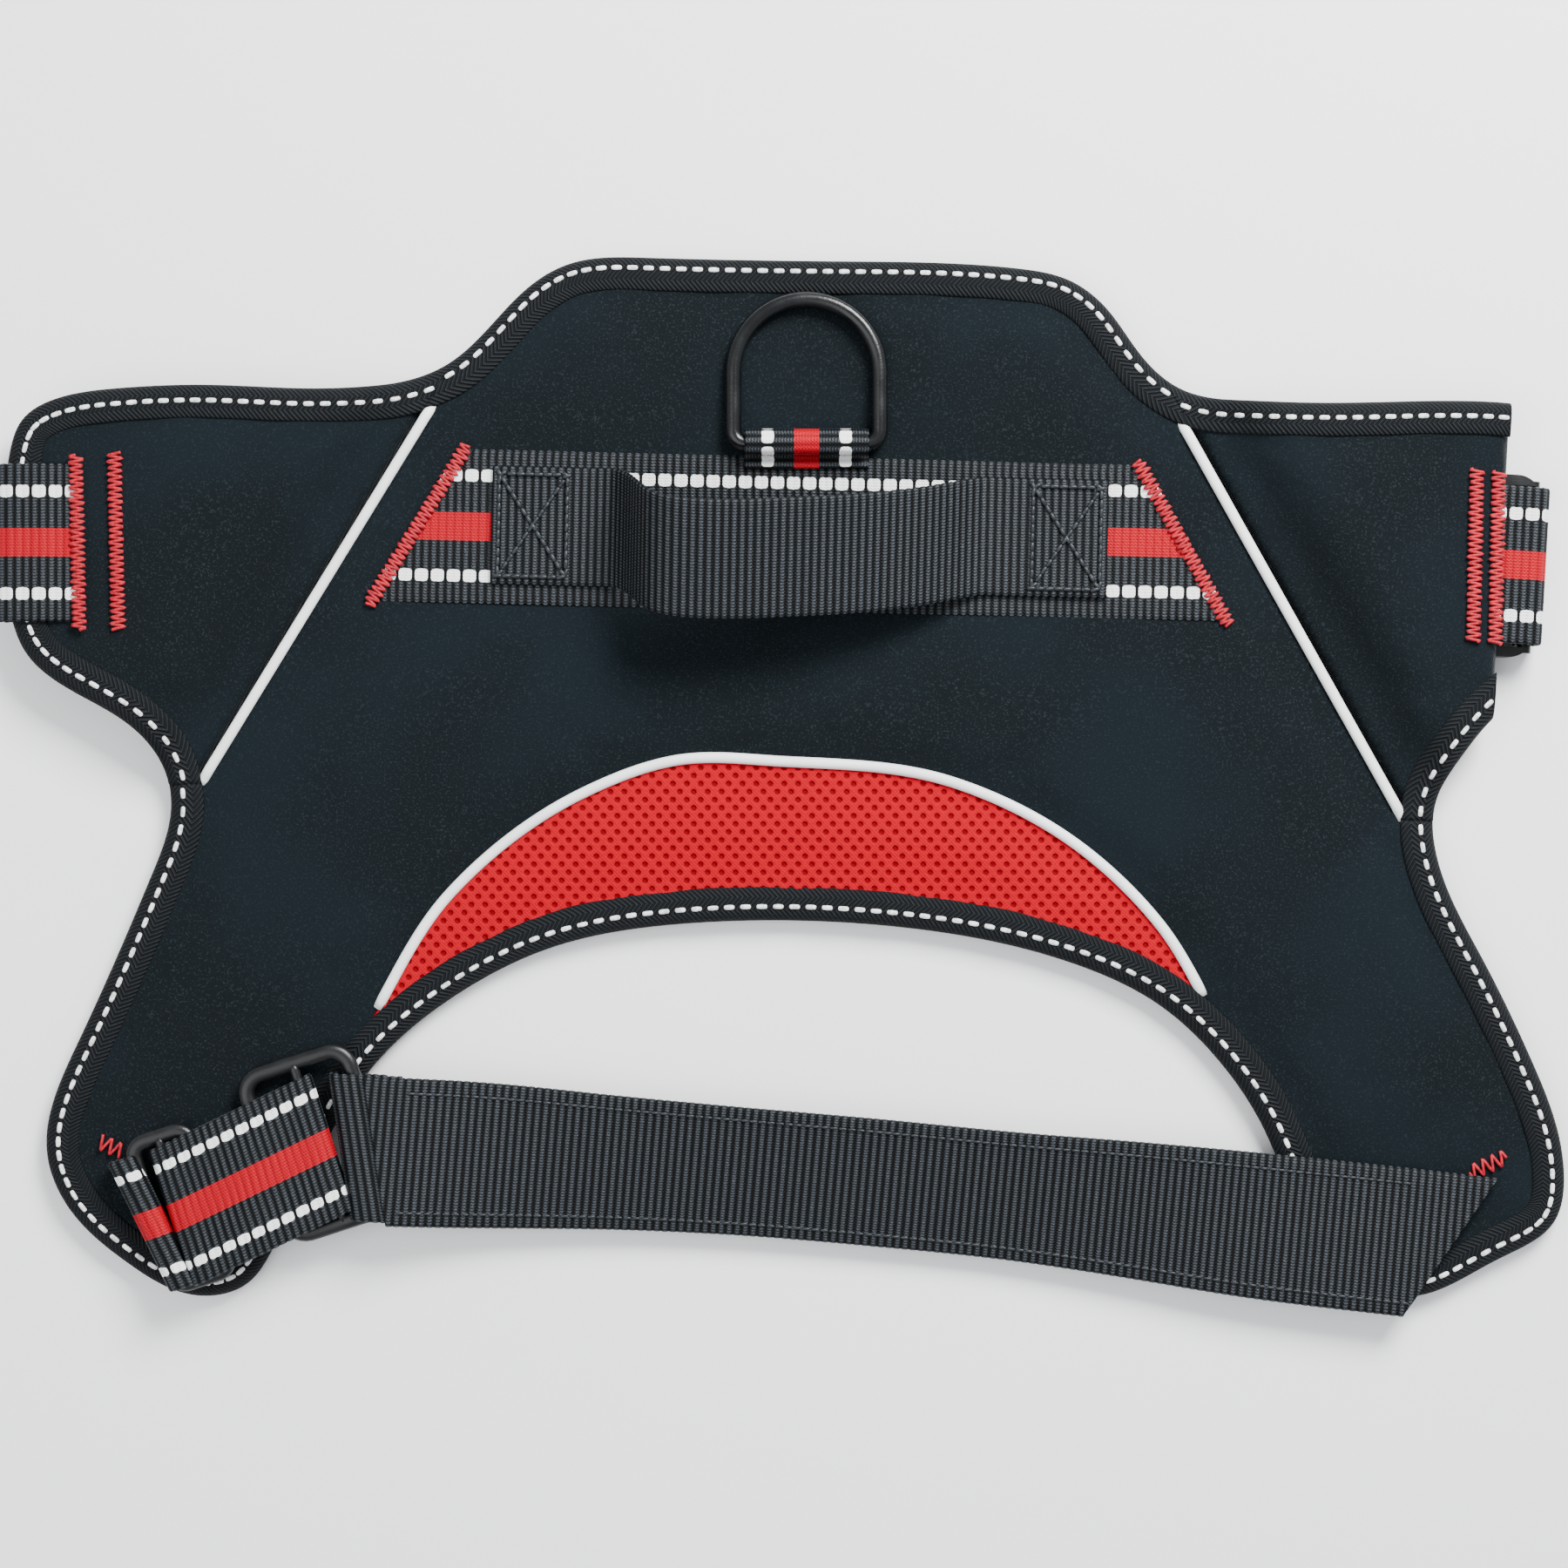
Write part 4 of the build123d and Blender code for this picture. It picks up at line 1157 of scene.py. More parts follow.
    def wrinkle(self, spots: Points, depth: Points) -> Points:
        """Soft ripples: a few slanted sine waves, strongest just inside the tape.

        Args:
            spots: Plan points.
            depth: Distance of each to the edge.

        Returns:
            Heights to add.
        """
        x, y = spots.T
        waves = np.sin(x / 9.0 + np.sin(y / 23.0) * 2.0) * np.sin(y / 14.0 + np.cos(x / 31.0) * 1.7)
        waves = waves + 0.5 * np.sin((x * 0.6 - y) / 6.3 + np.sin(x / 17.0))
        band = 0.35 + np.exp(-((depth - 16.0) / 9.0) ** 2)
        return self.ripple * waves * band * (depth > 0)

    def holes(self, spots: Points) -> Points:
        """How deep each point lies in the staggered holes, from 0 to 1."""
        stretch = np.array([1.0, RED_MESH.STRETCH])
        turns = [(spots / (RED_MESH.pitch * stretch) + shift) % 1.0 - 0.5 for shift in RED_MESH.STAGGER]
        near = np.minimum(*(np.linalg.norm(turn * stretch, axis=1) for turn in turns))
        return 1 - smooth(np.clip((near - 0.08) / 0.2, 0, 1))


def cut_loop(loop: Points, place: Points, way: Points) -> Points:
    """Part of a closed loop that lies on the right of a straight line through place.

    Args:
        loop: Closed polygon.
        place: Point on the line.
        way: Direction of the line.

    Returns:
        The clipped polygon.
    """
    value = (loop - place) @ np.array([way[1], -way[0]])
    after, value_after = np.roll(loop, -1, axis=0), np.roll(value, -1)
    share = value / np.where(value == value_after, 1, value - value_after)
    crossing = loop + share[:, None] * (after - loop)
    both = np.stack([loop, crossing], axis=1).reshape(-1, 2)
    keep = np.stack([value >= 0, (value >= 0) != (value_after >= 0)], axis=1).reshape(-1)
    return both[keep]


DASH_PITCH = 5.2
DASH_REACH = 1.5
DASH_LEVELS = (8.12, 0.45)
DASH_SIZE = (3.4, 1.6, 0.8)


@dataclass
class TapeRun:
    """Binding tape folded round a stretch of the outline, ended on two cuts.

    Each row is a curve parallel to the rim at the section's inset; its height is the section's level
    plus the panel's lift there.
    """

    name: str
    rim: Outline
    first: Cut
    last: Cut
    lift: Lift = flat
    inset_dash: float = 4.6

    def section(self) -> Points:
        """Tape section as (inset, level): over the top, round the edge, back under, and inside."""
        w = TAPE_WIDTH
        return np.array([
            (w, 6.6), (w, 7.35), (w - 0.5, 7.75), (w - 2, 7.95), (w - 4, 8.1), (5.2, 8.05), (4.6, 7.95),
            (3.8, 8.0), (2.4, 7.6), (1.2, 6.9), (0.4, 5.8), (0, 4.2), (0.1, 2.8), (0.6, 1.5), (1.6, 0.6),
            (3, 0.15), (5, 0.02), (w - 1, 0.02), (w, 0.2), (w, 1.0), (6, 1.1), (2.4, 2.4), (1.6, 4.2), (2.4, 5.9), (6, 6.6)])

    def spans(self, insets: Points) -> tuple[Points, Points]:
        """Where each parallel curve starts and ends, in arc length.

        Args:
            insets: Distances inwards.

        Returns:
            Start and end arc lengths, the end after the start.
        """
        start = self.rim.meet(self.first, insets)
        end = self.rim.meet(self.last, insets)
        end = end + np.where(end[0] < start[0], self.rim.length, 0.0)
        return start, end

    def build(self) -> bpy.types.Object:
        """Makes the tape.

        Returns:
            The new object.
        """
        section = self.section()
        start, end = self.spans(section[:, 0])
        columns = int((end - start).max() / 1.6) + 2
        share = np.linspace(0, 1, columns)
        along = start[:, None] + (end - start)[:, None] * share[None]
        flutter = 0.12 * np.sin(along / 7.3) + 0.08 * np.sin(along / 3.1 + 1.0)
        plan = self.rim.at(along, section[:, :1] + 0.6 * flutter * (section[:, :1] > 3))
        height = section[:, 1:] + self.lift(plan) + np.where(section[:, 1:] > 6.5, flutter, 0.0)
        grid = np.concatenate([plan, height[..., None]], axis=-1)
        around = running(closed_up(section))
        uv = np.stack(np.broadcast_arrays(np.vstack([along, along[:1]]), around[:, None]), axis=-1)
        return TAPE.dress(skin(self.name, grid, uv))

    def dashes(self) -> bpy.types.Object:
        """Reflective stitches along the tape, on its top and again in its underside.

        Returns:
            The new object.
        """
        start, end = self.spans(np.array([self.inset_dash]))
        count = int((end[0] - start[0]) / DASH_PITCH)
        along = start[0] + (np.arange(count) + 0.5) * (end[0] - start[0]) / count
        inset = np.full(count, self.inset_dash)
        spots = self.rim.at(along, inset)
        ahead, behind = self.rim.at(along + DASH_REACH, inset), self.rim.at(along - DASH_REACH, inset)
        way = np.column_stack([ahead - behind, self.lift(ahead) - self.lift(behind)])
        side = self.rim.at(along, inset + DASH_REACH)
        tilt = np.column_stack([side - spots, self.lift(side) - self.lift(spots)])
        up = np.cross(tilt, way)
        up = up * np.sign(up[:, 2:])
        rows = [np.column_stack([spots, self.lift(spots) + level]) for level in DASH_LEVELS]
        return WHITE_THREAD.dress(stitches(
            self.name + "_dashes", np.vstack(rows), np.vstack([way, way]), np.vstack([up, up]), DASH_SIZE))


# ---------------------------------------------------------------- straps and sewing
def rib_wave(run: Points, pitch: float) -> Points:
    """Height of webbing ribs, from 0 in a groove to 1 on a crest: |sin(pi*run/pitch)|^0.6."""
    return np.abs(np.sin(np.pi * run / pitch)) ** 0.6


def swollen(width: float, rib: Points) -> Points:
    """Half a strap's width, which swells with the ribs so that the edges are scalloped."""
    return width / 2 + 0.35 * (rib - 0.6)


def strap_section(thickness: float, width: float) -> tuple[Points, Points]:
    """Flat section with round sides, of unit half sizes: across on top and back underneath.

    Args:
        thickness: Thickness of the strap.
        width: Its width.

    Returns:
        Places across and levels, each from -1 to 1.
    """
    turn = np.radians([-60, -30, 0, 30, 60])
    r = thickness / width
    right = np.stack([1 - r + r * np.cos(turn), np.sin(turn)], axis=1)
    top = np.stack([np.linspace(1 - 1.5 * r, -1 + 1.5 * r, 15), np.ones(15)], axis=1)
    loop = np.vstack([right, top, -right, -top])
    return loop[:, 0], loop[:, 1]


def webbing_skin(name: str, grid: Points, u: Points, v: Points, width: float, finish: StrapWeave
                 ) -> bpy.types.Object:
    """Dressed shell of a strap whose rows go round its section.

    Args:
        name: Object name.
        grid: Points in millimetres.
        u: Distances along the strap, of a shape that fits the grid's.
        v: Places across of the section, from -1 to 1.
        width: Width of the strap.
        finish: Its webbing.

    Returns:
        The new object.
    """
    places = np.stack(np.broadcast_arrays(u, (v * width / 2)[:, None]), axis=-1)
    return finish.dress(skin(name, grid, closed_up(places)))


@dataclass
class Strap:
    """Ribbed webbing carried along a path.

    Half thickness = t/2 - rib_height*(1 - rib), with rib the wave of the ribs.
    """

    name: str
    path: Points
    across: Points
    width: float
    finish: StrapWeave
    shift: float = 0.0

    def build(self) -> bpy.types.Object:
        """Makes the strap.

        Returns:
            The new object.
        """
        count = int(length_of(self.path) / (self.finish.rib / RIB_STEPS)) + 2
        whole = np.hstack([self.path, np.broadcast_to(self.across, self.path.shape)])
        run_in = running(self.path)
        run = np.linspace(0, run_in[-1], count)
        even = np.stack([np.interp(run, run_in, whole[:, axis]) for axis in range(6)], axis=1)
        path, across = even[:, :3], even[:, 3:]
        way = np.gradient(path, axis=0)
        up = -unit(np.cross(across, way))
        rib = rib_wave(run + self.shift, self.finish.rib)
        v, level = strap_section(WEBBING, self.width)
        thick = WEBBING / 2 - RIB_HEIGHT * (1 - rib)
        grid = path[None] + v[:, None, None] * swollen(self.width, rib)[None, :, None] * across[None]
        grid = grid + level[:, None, None] * thick[None, :, None] * up[None]
        return webbing_skin(self.name, grid, (run + self.shift)[None], v, self.width, self.finish)


def zigzag(name: str, middle: tuple[float, float], turn: float, length: float, level: float,
           width: float = 5.0, pitch: float = 2.0, thick: float = 0.54) -> bpy.types.Object:
    """Row of zigzag stitching: thread strokes from side to side with rounded turns.

    Args:
        name: Object name.
        middle: Middle of the row in plan.
        turn: Angle of the row from the Y axis, in degrees.
        length: Length of the row.
        level: Height of the thread's middle over the resting level.
        width: Side-to-side size.
        pitch: Length of one full zigzag.
        thick: Radius of the thread.

    Returns:
        The new object.
    """
    along = np.array([-np.sin(np.radians(turn)), np.cos(np.radians(turn))])
    across = np.array([along[1], -along[0]])
    count = int(length / pitch * 14)
    place = np.linspace(-length / 2, length / 2, count)
    phase = place / pitch * 2 * np.pi
    swing = np.arcsin(0.985 * np.sin(phase)) / (np.pi / 2) * width / 2
    jitter = 0.16 * np.sin(place * 1.7) + 0.1 * np.sin(place * 4.1)
    plan = np.array(middle) + place[:, None] * along + (swing + jitter)[:, None] * across
    path = np.column_stack([plan, level + 0.25 * np.cos(phase) ** 2])
    return RED_THREAD.dress(tube(name, path, thick, sides=6))


def seam_stitches(name: str, line: Points, level: float, size: tuple[float, float, float]
                  ) -> bpy.types.Object:
    """Black lockstitches laid end to end along a plan line.

    Args:
        name: Object name.
        line: Plan polyline.
        level: Height over the resting level.
        size: Length, width and height of a stitch.

    Returns:
        The new object.
    """
    spots = even_steps(line, max(3, int(length_of(line) / size[0]) + 1))
    flat_ways = np.column_stack([np.gradient(spots, axis=0), np.zeros(len(spots))])
    centres = np.column_stack([spots, np.full(len(spots), level)])
    return BLACK_THREAD.dress(stitches(name, centres, flat_ways, np.tile(UP, (len(spots), 1)), size))


def heading(turn: float) -> Points:
    """Plan direction at an angle in degrees from the X axis, as three numbers."""
    return np.array([np.cos(np.radians(turn)), np.sin(np.radians(turn)), 0.0])


def laid(place: Points, way: Points, view: View, count: int) -> Points:
    """Path of a strap: a soft curve through its side view, stood on a place.

    Args:
        place: Where the view's origin lies.
        way: Plan direction of the view.
        view: Distances along the way and heights.
        count: How many samples the path gets.

    Returns:
        Points of three.
    """
    path = soft_curve(np.array(view, float), count)
    return place + path[:, :1] * way + path[:, 1:] * UP


# ---------------------------------------------------------------- sub-assemblies
def note(piece: bpy.types.Object) -> bpy.types.Object:
    """Logs a finished piece with its face count."""
    log.info("%s: %d faces", piece.name, len(piece.data.polygons))
    return piece


def on_body(piece: bpy.types.Object, body: str, *nodes: str) -> bpy.types.Object:
    """Makes a piece ride on a body and stand for CAD nodes.

    Args:
        piece: The piece.
        body: Name of the body.
        nodes: CAD nodes that it replaces.

    Returns:
        The piece.
    """
    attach(piece, body)
    if nodes:
        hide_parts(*nodes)
    return note(piece)


def tilting(piece: bpy.types.Object, start: Points, end: Points, *nodes: str) -> bpy.types.Object:
    """Bakes a strap's placement into its mesh, after hiding the CAD nodes that it replaces.

    Args:
        piece: The strap.
        start: Place where the strap still lies on the vest, in millimetres; not used.
        end: Place where it moves with the ring; not used.
        nodes: CAD nodes that it replaces.

    Returns:
        The piece.
    """
    if nodes:
        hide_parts(*nodes)
    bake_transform(piece)
    return note(piece)


SEWN_REACH = 7.0
PRESSED = (  # under the back strap, the ring, the chest hardware and the chest strap: line and reach
    (((-112.0, 83.5), (122.0, 77.8)), 34.0), (((7.3, 112.0), (7.3, 142.0)), 30.0),
    (((-212.0, -132.0), (-140.0, -112.0)), 32.0), (((168.0, -140.0), (214.0, -146.0)), 26.0))


@dataclass
class VestBody:
    """Centre panel: cover, red crescent, lining side, tape, pipings."""

    rim: Outline

    def panel_plan(self) -> Points:
        """Plan of the centre panel: the outline a little inside its rim, cut along both seams."""
        loop = self.rim.at(np.arange(0, self.rim.length, 2.0), 1.2)
        for seam in (LEFT_SEAM, RIGHT_SEAM):
            wing = is_inside(loop, wing_area(seam))
            start = int(np.argmax(wing & ~np.roll(wing, 1)))
            loop, wing = np.roll(loop, -start, axis=0), np.roll(wing, -start)
            rest = loop[~wing]
            line = np.vstack([self.seam_points(seam), [seam.end]])
            foot_first = np.linalg.norm(loop[0] - seam.end) < np.linalg.norm(loop[0] - seam.start)
            loop = np.vstack([rest, line[::-1] if foot_first else line])
        return loop

    def seam_points(self, seam: Seam) -> Points:
        """Points down a seam, from the tail edge to its foot."""
        share = np.linspace(0.0, 1.0, 30)[:, None]
        top = seam.start - seam.way * 4.0
        return top * (1 - share) + (seam.end - seam.way * 2.0) * share

    def build(self) -> None:
        """Builds and dresses the centre panel."""
        plan = self.panel_plan()
        crescent = soft_curve(CRESCENT, 160)
        holds = [Hold(crescent, SEWN_REACH, 0.5)]
        holds += [Hold(self.seam_points(seam), SEWN_REACH, 0.4) for seam in (LEFT_SEAM, RIGHT_SEAM)]
        holds += [Hold(np.array(line), reach, 0.0) for line, reach in PRESSED]
        panel = PaddedPanel("centre_pad", plan, holds=holds, sunk=self.crescent_plan(crescent),
                            cloth=ClothRun()).build()
        on_body(panel, "vest", "centre_cover", "centre_foam", "centre_lining")
        self.crescent(crescent)
        for name, first, last, inset in (
                ("tail_tape", Cut(tuple(LEFT_SEAM.start), tuple(LEFT_SEAM.way)),
                 Cut(tuple(RIGHT_SEAM.start), tuple(RIGHT_SEAM.way)), 3.9),
                ("chest_tape", Cut(tuple(RIGHT_SEAM.end), (1.0, 0.0)),
                 Cut(tuple(LEFT_SEAM.end), (1.0, 0.0)), 4.6)):
            run = TapeRun(name, self.rim, first, last, inset_dash=inset)
            on_body(run.build(), "vest", "centre_binding")
            on_body(run.dashes(), "vest")
        for seam, side in ((LEFT_SEAM, "left"), (RIGHT_SEAM, "right")):
            start = np.append(np.array(seam.top) - seam.way * 2.0, COVER_TOP + 0.5)
            end = np.append(np.array(seam.foot) - seam.way * 1.5, COVER_TOP + 0.5)
            line = tucked(start + (end - start) * np.linspace(0, 1, 90)[:, None])
            bead = tube(side + "_seam_bead", line, seam.bead_half, sides=14, flatten=0.8)
            on_body(PIPING.dress(bead), "vest", side + "_seam_piping")

    def crescent_plan(self, edge: Points) -> Points:
        """Plan of the mesh: its upper edge, closed by a line just inside the neck's rim.

        Args:
            edge: The crescent's upper edge, from left to right.

        Returns:
            The closed plan.
        """
        neck = self.rim.at(np.arange(0, self.rim.length, 1.5), 6.0)
        lower = neck[(neck[:, 1] < -40) & (neck[:, 1] > -92) & (np.abs(neck[:, 0]) < 150)]
        return np.vstack([edge[edge[:, 1] > -82], lower[np.argsort(-lower[:, 0])]])

    def crescent(self, edge: Points) -> None:
        """Builds the red mesh crescent and its piping.

        Args:
            edge: The crescent's upper edge, from left to right.
        """
        mesh = PaddedPanel("red_crescent", self.crescent_plan(edge), pitch=0.75, low=6.2,
                           high=COVER_TOP + 0.35, puff=0.9, spread=16.0, roll=1.2, dimple=0.55, ripple=0.1,
                           tape_room=False, top=RED_MESH).build()
        on_body(mesh, "vest", "mesh_insert")
        line = np.column_stack([edge, np.full(len(edge), COVER_TOP + 0.55)])
        bead = PIPING.dress(tube("crescent_bead", tucked(line[5:-5]), 1.75, sides=14, flatten=0.85))
        on_body(bead, "vest", "crescent_piping")


def tucked(line: Points, reach: float = 5.0, drop: float = 1.7) -> Points:
    """Lowers both ends of a bead so that they pass under the tape.

    Args:
        line: Centre line of the bead.
        reach: Length over which an end comes up.
        drop: How far the very end is lowered.

    Returns:
        The line with its heights changed.
    """
    run = running(line)
    share = np.clip(np.minimum(run, run[-1] - run) / reach, 0, 1)
    lowered = line.copy()
    lowered[:, 2] -= drop * (1 - smooth(share))
    return lowered


def wing_area(seam: Seam) -> Points:
    """Plan area of a wing: outside its seam and above its foot."""
    far = 400.0 * seam.side.value
    top = seam.start - seam.way * 90
    return np.array([top, seam.end, (far, seam.end[1]), (far, top[1])])


@dataclass
class SideWing:
    """One wing: pad and tape."""

    rim: Outline
    seam: Seam

    @property
    def word(self) -> str:
        """The wing's side as a word."""
        return self.seam.side.name.lower()

    def plan(self) -> Points:
        """Plan of the wing's pad."""
        loop = self.rim.at(np.arange(0, self.rim.length, 2.0), 1.2)
        loop = cut_loop(loop, self.seam.start + self.seam.out * 0.3, -self.seam.way * self.seam.side.value)
        loop = cut_loop(loop, self.seam.end, np.array([-1.0, 0.0]))
        if self.seam.side is Side.RIGHT:
            loop = cut_loop(loop, FOLD_TOP, FOLD_FOOT - FOLD_TOP)
        return loop

    def bend(self, piece: bpy.types.Object, *nodes: str) -> bpy.types.Object:
        """Bakes a piece's placement into its mesh, after hiding the CAD nodes that it replaces.

        Args:
            piece: The piece.
            nodes: CAD nodes that it replaces.

        Returns:
            The piece.
        """
        if nodes:
            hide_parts(*nodes)
        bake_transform(piece)
        return note(piece)

    def build(self) -> None:
        """Builds and dresses the wing."""
        seam_line = np.array([self.seam.start - self.seam.way * 8, self.seam.end])
        rows = 221.5 * self.seam.side.value
        sewn = np.array([(rows, 46.0), (rows + self.seam.side.value * -1.5, 108.0)])
        holds = [Hold(seam_line, SEWN_REACH, 0.4), Hold(sewn, 15.0, 0.0)]
        pad = PaddedPanel(self.word + "_pad", self.plan(), pitch=1.7, puff=0.7, spread=20.0, holds=holds,
                          lift=self.seam.lift, cloth=ClothRun(cap=1.0)).build()
        self.bend(pad, *(f"{self.word}_{layer}" for layer in ("cover", "foam", "lining")))
        for run in self.tapes():
            self.bend(run.build(), self.word + "_binding")
            self.bend(run.dashes())

    def tapes(self) -> list[TapeRun]:
        """The stretches of tape round the wing."""
        seam_cut = Cut(tuple(self.seam.start), tuple(self.seam.way))
        foot_cut = Cut(tuple(self.seam.end), (1.0, 0.0))
        if self.seam.side is Side.LEFT:
            return [TapeRun("left_tape", self.rim, foot_cut, seam_cut, self.seam.lift, 5.4)]
        fold = FOLD_FOOT - FOLD_TOP
        fold = fold / np.linalg.norm(fold)
        return [TapeRun("right_top_tape", self.rim, seam_cut, Cut(tuple(FOLD_TOP), tuple(fold)),
                        self.seam.lift, 5.2),
                TapeRun("right_foot_tape", self.rim, Cut(tuple(FOLD_FOOT), tuple(fold)), foot_cut,
                        self.seam.lift, 4.8)]


@dataclass
class SideStraps:
    """Striped straps at the wing ends, folded round the buckle bars, with their red stitching."""

    left_place: tuple[float, float] = (-229.0, 77.5)
    right_place: tuple[float, float] = (231.1, 70.8)
    left_view: View = (
        (3.0, 8.0), (-4.0, 8.1), (-7.5, 8.8), (-14, 8.9), (-20.5, 8.7), (-23.4, 7.2), (-23.9, 4.0), (-23.2, 0.5),
        (-20.6, -0.9), (-15, -1.2), (-10.5, -1.5), (-8.3, -3.2), (-7.9, -4.8), (-8.6, -6.6), (-10.9, -7.7),
        (-14, -7.9), (-21, -7.9))
    right_view: View = (
        (-19, 5.2), (-6, 5.25), (6, 5.2), (11, 4.9), (13.4, 3.0), (14.0, -1.0), (13.6, -5.4), (11.6, -7.6),
        (9.6, -7.5), (7.3, -5.6), (6.9, -1.6), (6.3, 1.8), (4.4, 3.2), (0.8, 3.3))

    def build(self) -> None:
        """Builds both straps with their sewn rows, and dresses the buckle halves."""
        fold = np.degrees(np.arctan2(*(FOLD_TOP - FOLD_FOOT)[::-1])) - 90
        for side, place, view, turn, shift in (("left", self.left_place, self.left_view, 0.0, 0.0),
                                               ("right", self.right_place, self.right_view, fold, 1.0)):
            path = laid(np.array([*place, WING_LIFT]), heading(turn), view, 240)
            strap = Strap(side + "_girth_strap", path, heading(turn + 90), GIRTH_WIDTH, SIDE_STRIPED, shift=shift)
            on_body(strap.build(), side + "_wing", side + "_side_strap")
        for name, middle, turn, length, level, node in (
                ("left_outer_zigzag", (-226.6, 77.5), 1.2, 56, STRAP_TOP + 0.35, "left_wing_stitching_outer"),
                ("left_inner_zigzag", (-214.4, 78.0), 1.2, 57, COVER_TOP + 0.9, "left_wing_stitching_inner"),
                ("right_inner_zigzag", (221.9, 73.4), fold + 2, 55.5, COVER_TOP + 0.9, "right_wing_stitching"),
                ("right_outer_zigzag", (229.0, 72.6), fold + 2, 55.5, COVER_TOP + 0.65, "right_wing_stitching")):
            on_body(zigzag(name, middle, turn, length, WING_LIFT + level), node.split("_stitching")[0], node)
        for node in ("buckle_male", "buckle_female", "buckle_prong_upper", "buckle_prong_lower"):
            PLASTIC.dress(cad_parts[node])


@dataclass
class BackStrap:
    """Striped strap across the back, with slanted ends under red stitching."""

    middle: tuple[float, float] = (5.3, 80.7)
    turn: float = -1.35
    top_half: float = 111.0
    foot_half: float = 140.3
    width: float = 50.0

    def build(self) -> None:
        """Builds the strap, then its two slanted end rows."""
        along, across = heading(self.turn), heading(self.turn + 90)
        centre = np.array([*self.middle, COVER_TOP + WEBBING / 2])
        count = int(2 * self.foot_half / (STRIPED.rib / RIB_STEPS))
        run = np.linspace(-1, 1, count)
        v, level = strap_section(WEBBING, self.width)
        reach = self.foot_half + (self.top_half - self.foot_half) * (v + 1) / 2
        u = run[None] * reach[:, None]
        rib = rib_wave(u, STRIPED.rib)
        wide = v[:, None] * swollen(self.width, rib)
        thick = level[:, None] * (WEBBING / 2 - RIB_HEIGHT * (1 - rib)) + 0.25 * np.sin(u / 19.0)
        grid = centre + u[..., None] * along + wide[..., None] * across + thick[..., None] * UP
        piece = webbing_skin("back_webbing", grid, u, v, self.width, STRIPED)
        on_body(piece, "vest", "back_strap")
        slant = np.degrees(np.arctan2(self.foot_half - self.top_half, self.width))
        length = np.hypot(self.foot_half - self.top_half, self.width) + 2.5
        middle = (self.top_half + self.foot_half) / 2 - 2.0
        for side, word in ((-1, "left"), (1, "right")):
            place = centre + along * side * middle
            row = zigzag(word + "_back_zigzag", tuple(place[:2]), self.turn + side * slant, length,
                         STRAP_TOP + 0.3)
            on_body(row, "vest", "back_strap_stitching")


@dataclass
class GrabHandle:
    """Plain webbing handle: sewn ends on the back strap and a loop that leans to the neck."""

    middle: tuple[float, float] = (5.0, 81.4)
    turn: float = -1.35
    width: float = 38.0
    side_view: tuple[tuple[float, float, float, float], ...] = (
        (-99.5, 0.9, 0.0, 0.0), (-88, 0.9, 0.0, 0.0), (-76, 0.9, 0.0, 0.0), (-66, 0.95, 0.0, 0.0),
        (-60.5, 2.2, 0.0, 1.0), (-56.8, 6.5, -1.2, 3.0), (-53.6, 13.0, -3.4, 6.0), (-50.4, 20.0, -6.2, 9.0),
        (-46.6, 25.5, -8.6, 11.0), (-41.0, 28.4, -10.2, 12.0), (-33, 28.9, -10.9, 12.0),
        (-20, 27.9, -10.8, 12.0), (-5, 25.8, -9.8, 11.0), (10, 22.6, -8.6, 10.0), (25, 18.0, -6.8, 8.0),
        (38, 12.6, -4.6, 6.0), (48, 7.4, -2.4, 3.5), (54.5, 3.4, -0.8, 1.5), (59, 1.4, 0.0, 0.0),
        (66, 0.95, 0.0, 0.0), (78, 0.9, 0.0, 0.0), (90, 0.9, 0.0, 0.0), (99.5, 0.9, 0.0, 0.0))
    split_at: float = 2.0
    box_middle: float = 86.2
    box_half: tuple[float, float] = (11.0, 16.5)
    box_stitch: tuple[float, float, float] = (2.9, 1.4, 1.1)

    def build(self) -> None:
        """Builds the two halves of the handle and its box stitching."""
        along, across = heading(self.turn), heading(self.turn + 90)
        view = soft_curve(np.array(self.side_view), 900)
        base = np.array([*self.middle, STRAP_TOP])
        path = base + view[:, :1] * along + view[:, 2:3] * across + view[:, 1:2] * UP
        lean = np.radians(view[:, 3:])
        facing = across * np.cos(lean) + UP * np.sin(lean)
        split = int(np.argmin(np.abs(view[:, 0] - self.split_at)))
        halves = (("left_handle_half", slice(0, split + 1), -60.0, -42.0,
                   ("handle", "handle_left_foot", "handle_left_tab")),
                  ("right_handle_half", slice(split, None), 61.0, 44.0,
                   ("handle", "handle_right_foot", "handle_right_tab")))
        for name, part, start, end, nodes in halves:
            shift = 0.0 if part.start == 0 else length_of(path[:split + 1])
            strap = Strap(name, path[part], facing[part], self.width, PLAIN, shift=shift).build()
            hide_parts(*nodes)
            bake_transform(strap)
            note(strap)
        self.boxes(base, along, across)

    def boxes(self, base: Points, along: Points, across: Points) -> None:
        """Black box stitching with a cross at each sewn end.

        Args:
            base: Middle of the handle on the strap.
            along: Direction of the handle.
            across: Direction across it.
        """
        corners = np.array([(-1, -1), (1, -1), (1, 1), (-1, 1), (-1, -1), (1, 1), (1, -1), (-1, 1)], float)
        for side, word in ((-1, "left"), (1, "right")):
            shape = corners * np.array(self.box_half) + np.array([side * self.box_middle, 0])
            plan = base[:2] + shape[:, :1] * along[:2] + shape[:, 1:] * across[:2]
            row = seam_stitches(word + "_box_stitching", plan, TAB_TOP + 0.3, self.box_stitch)
            on_body(row, "vest", "handle_box_stitching")


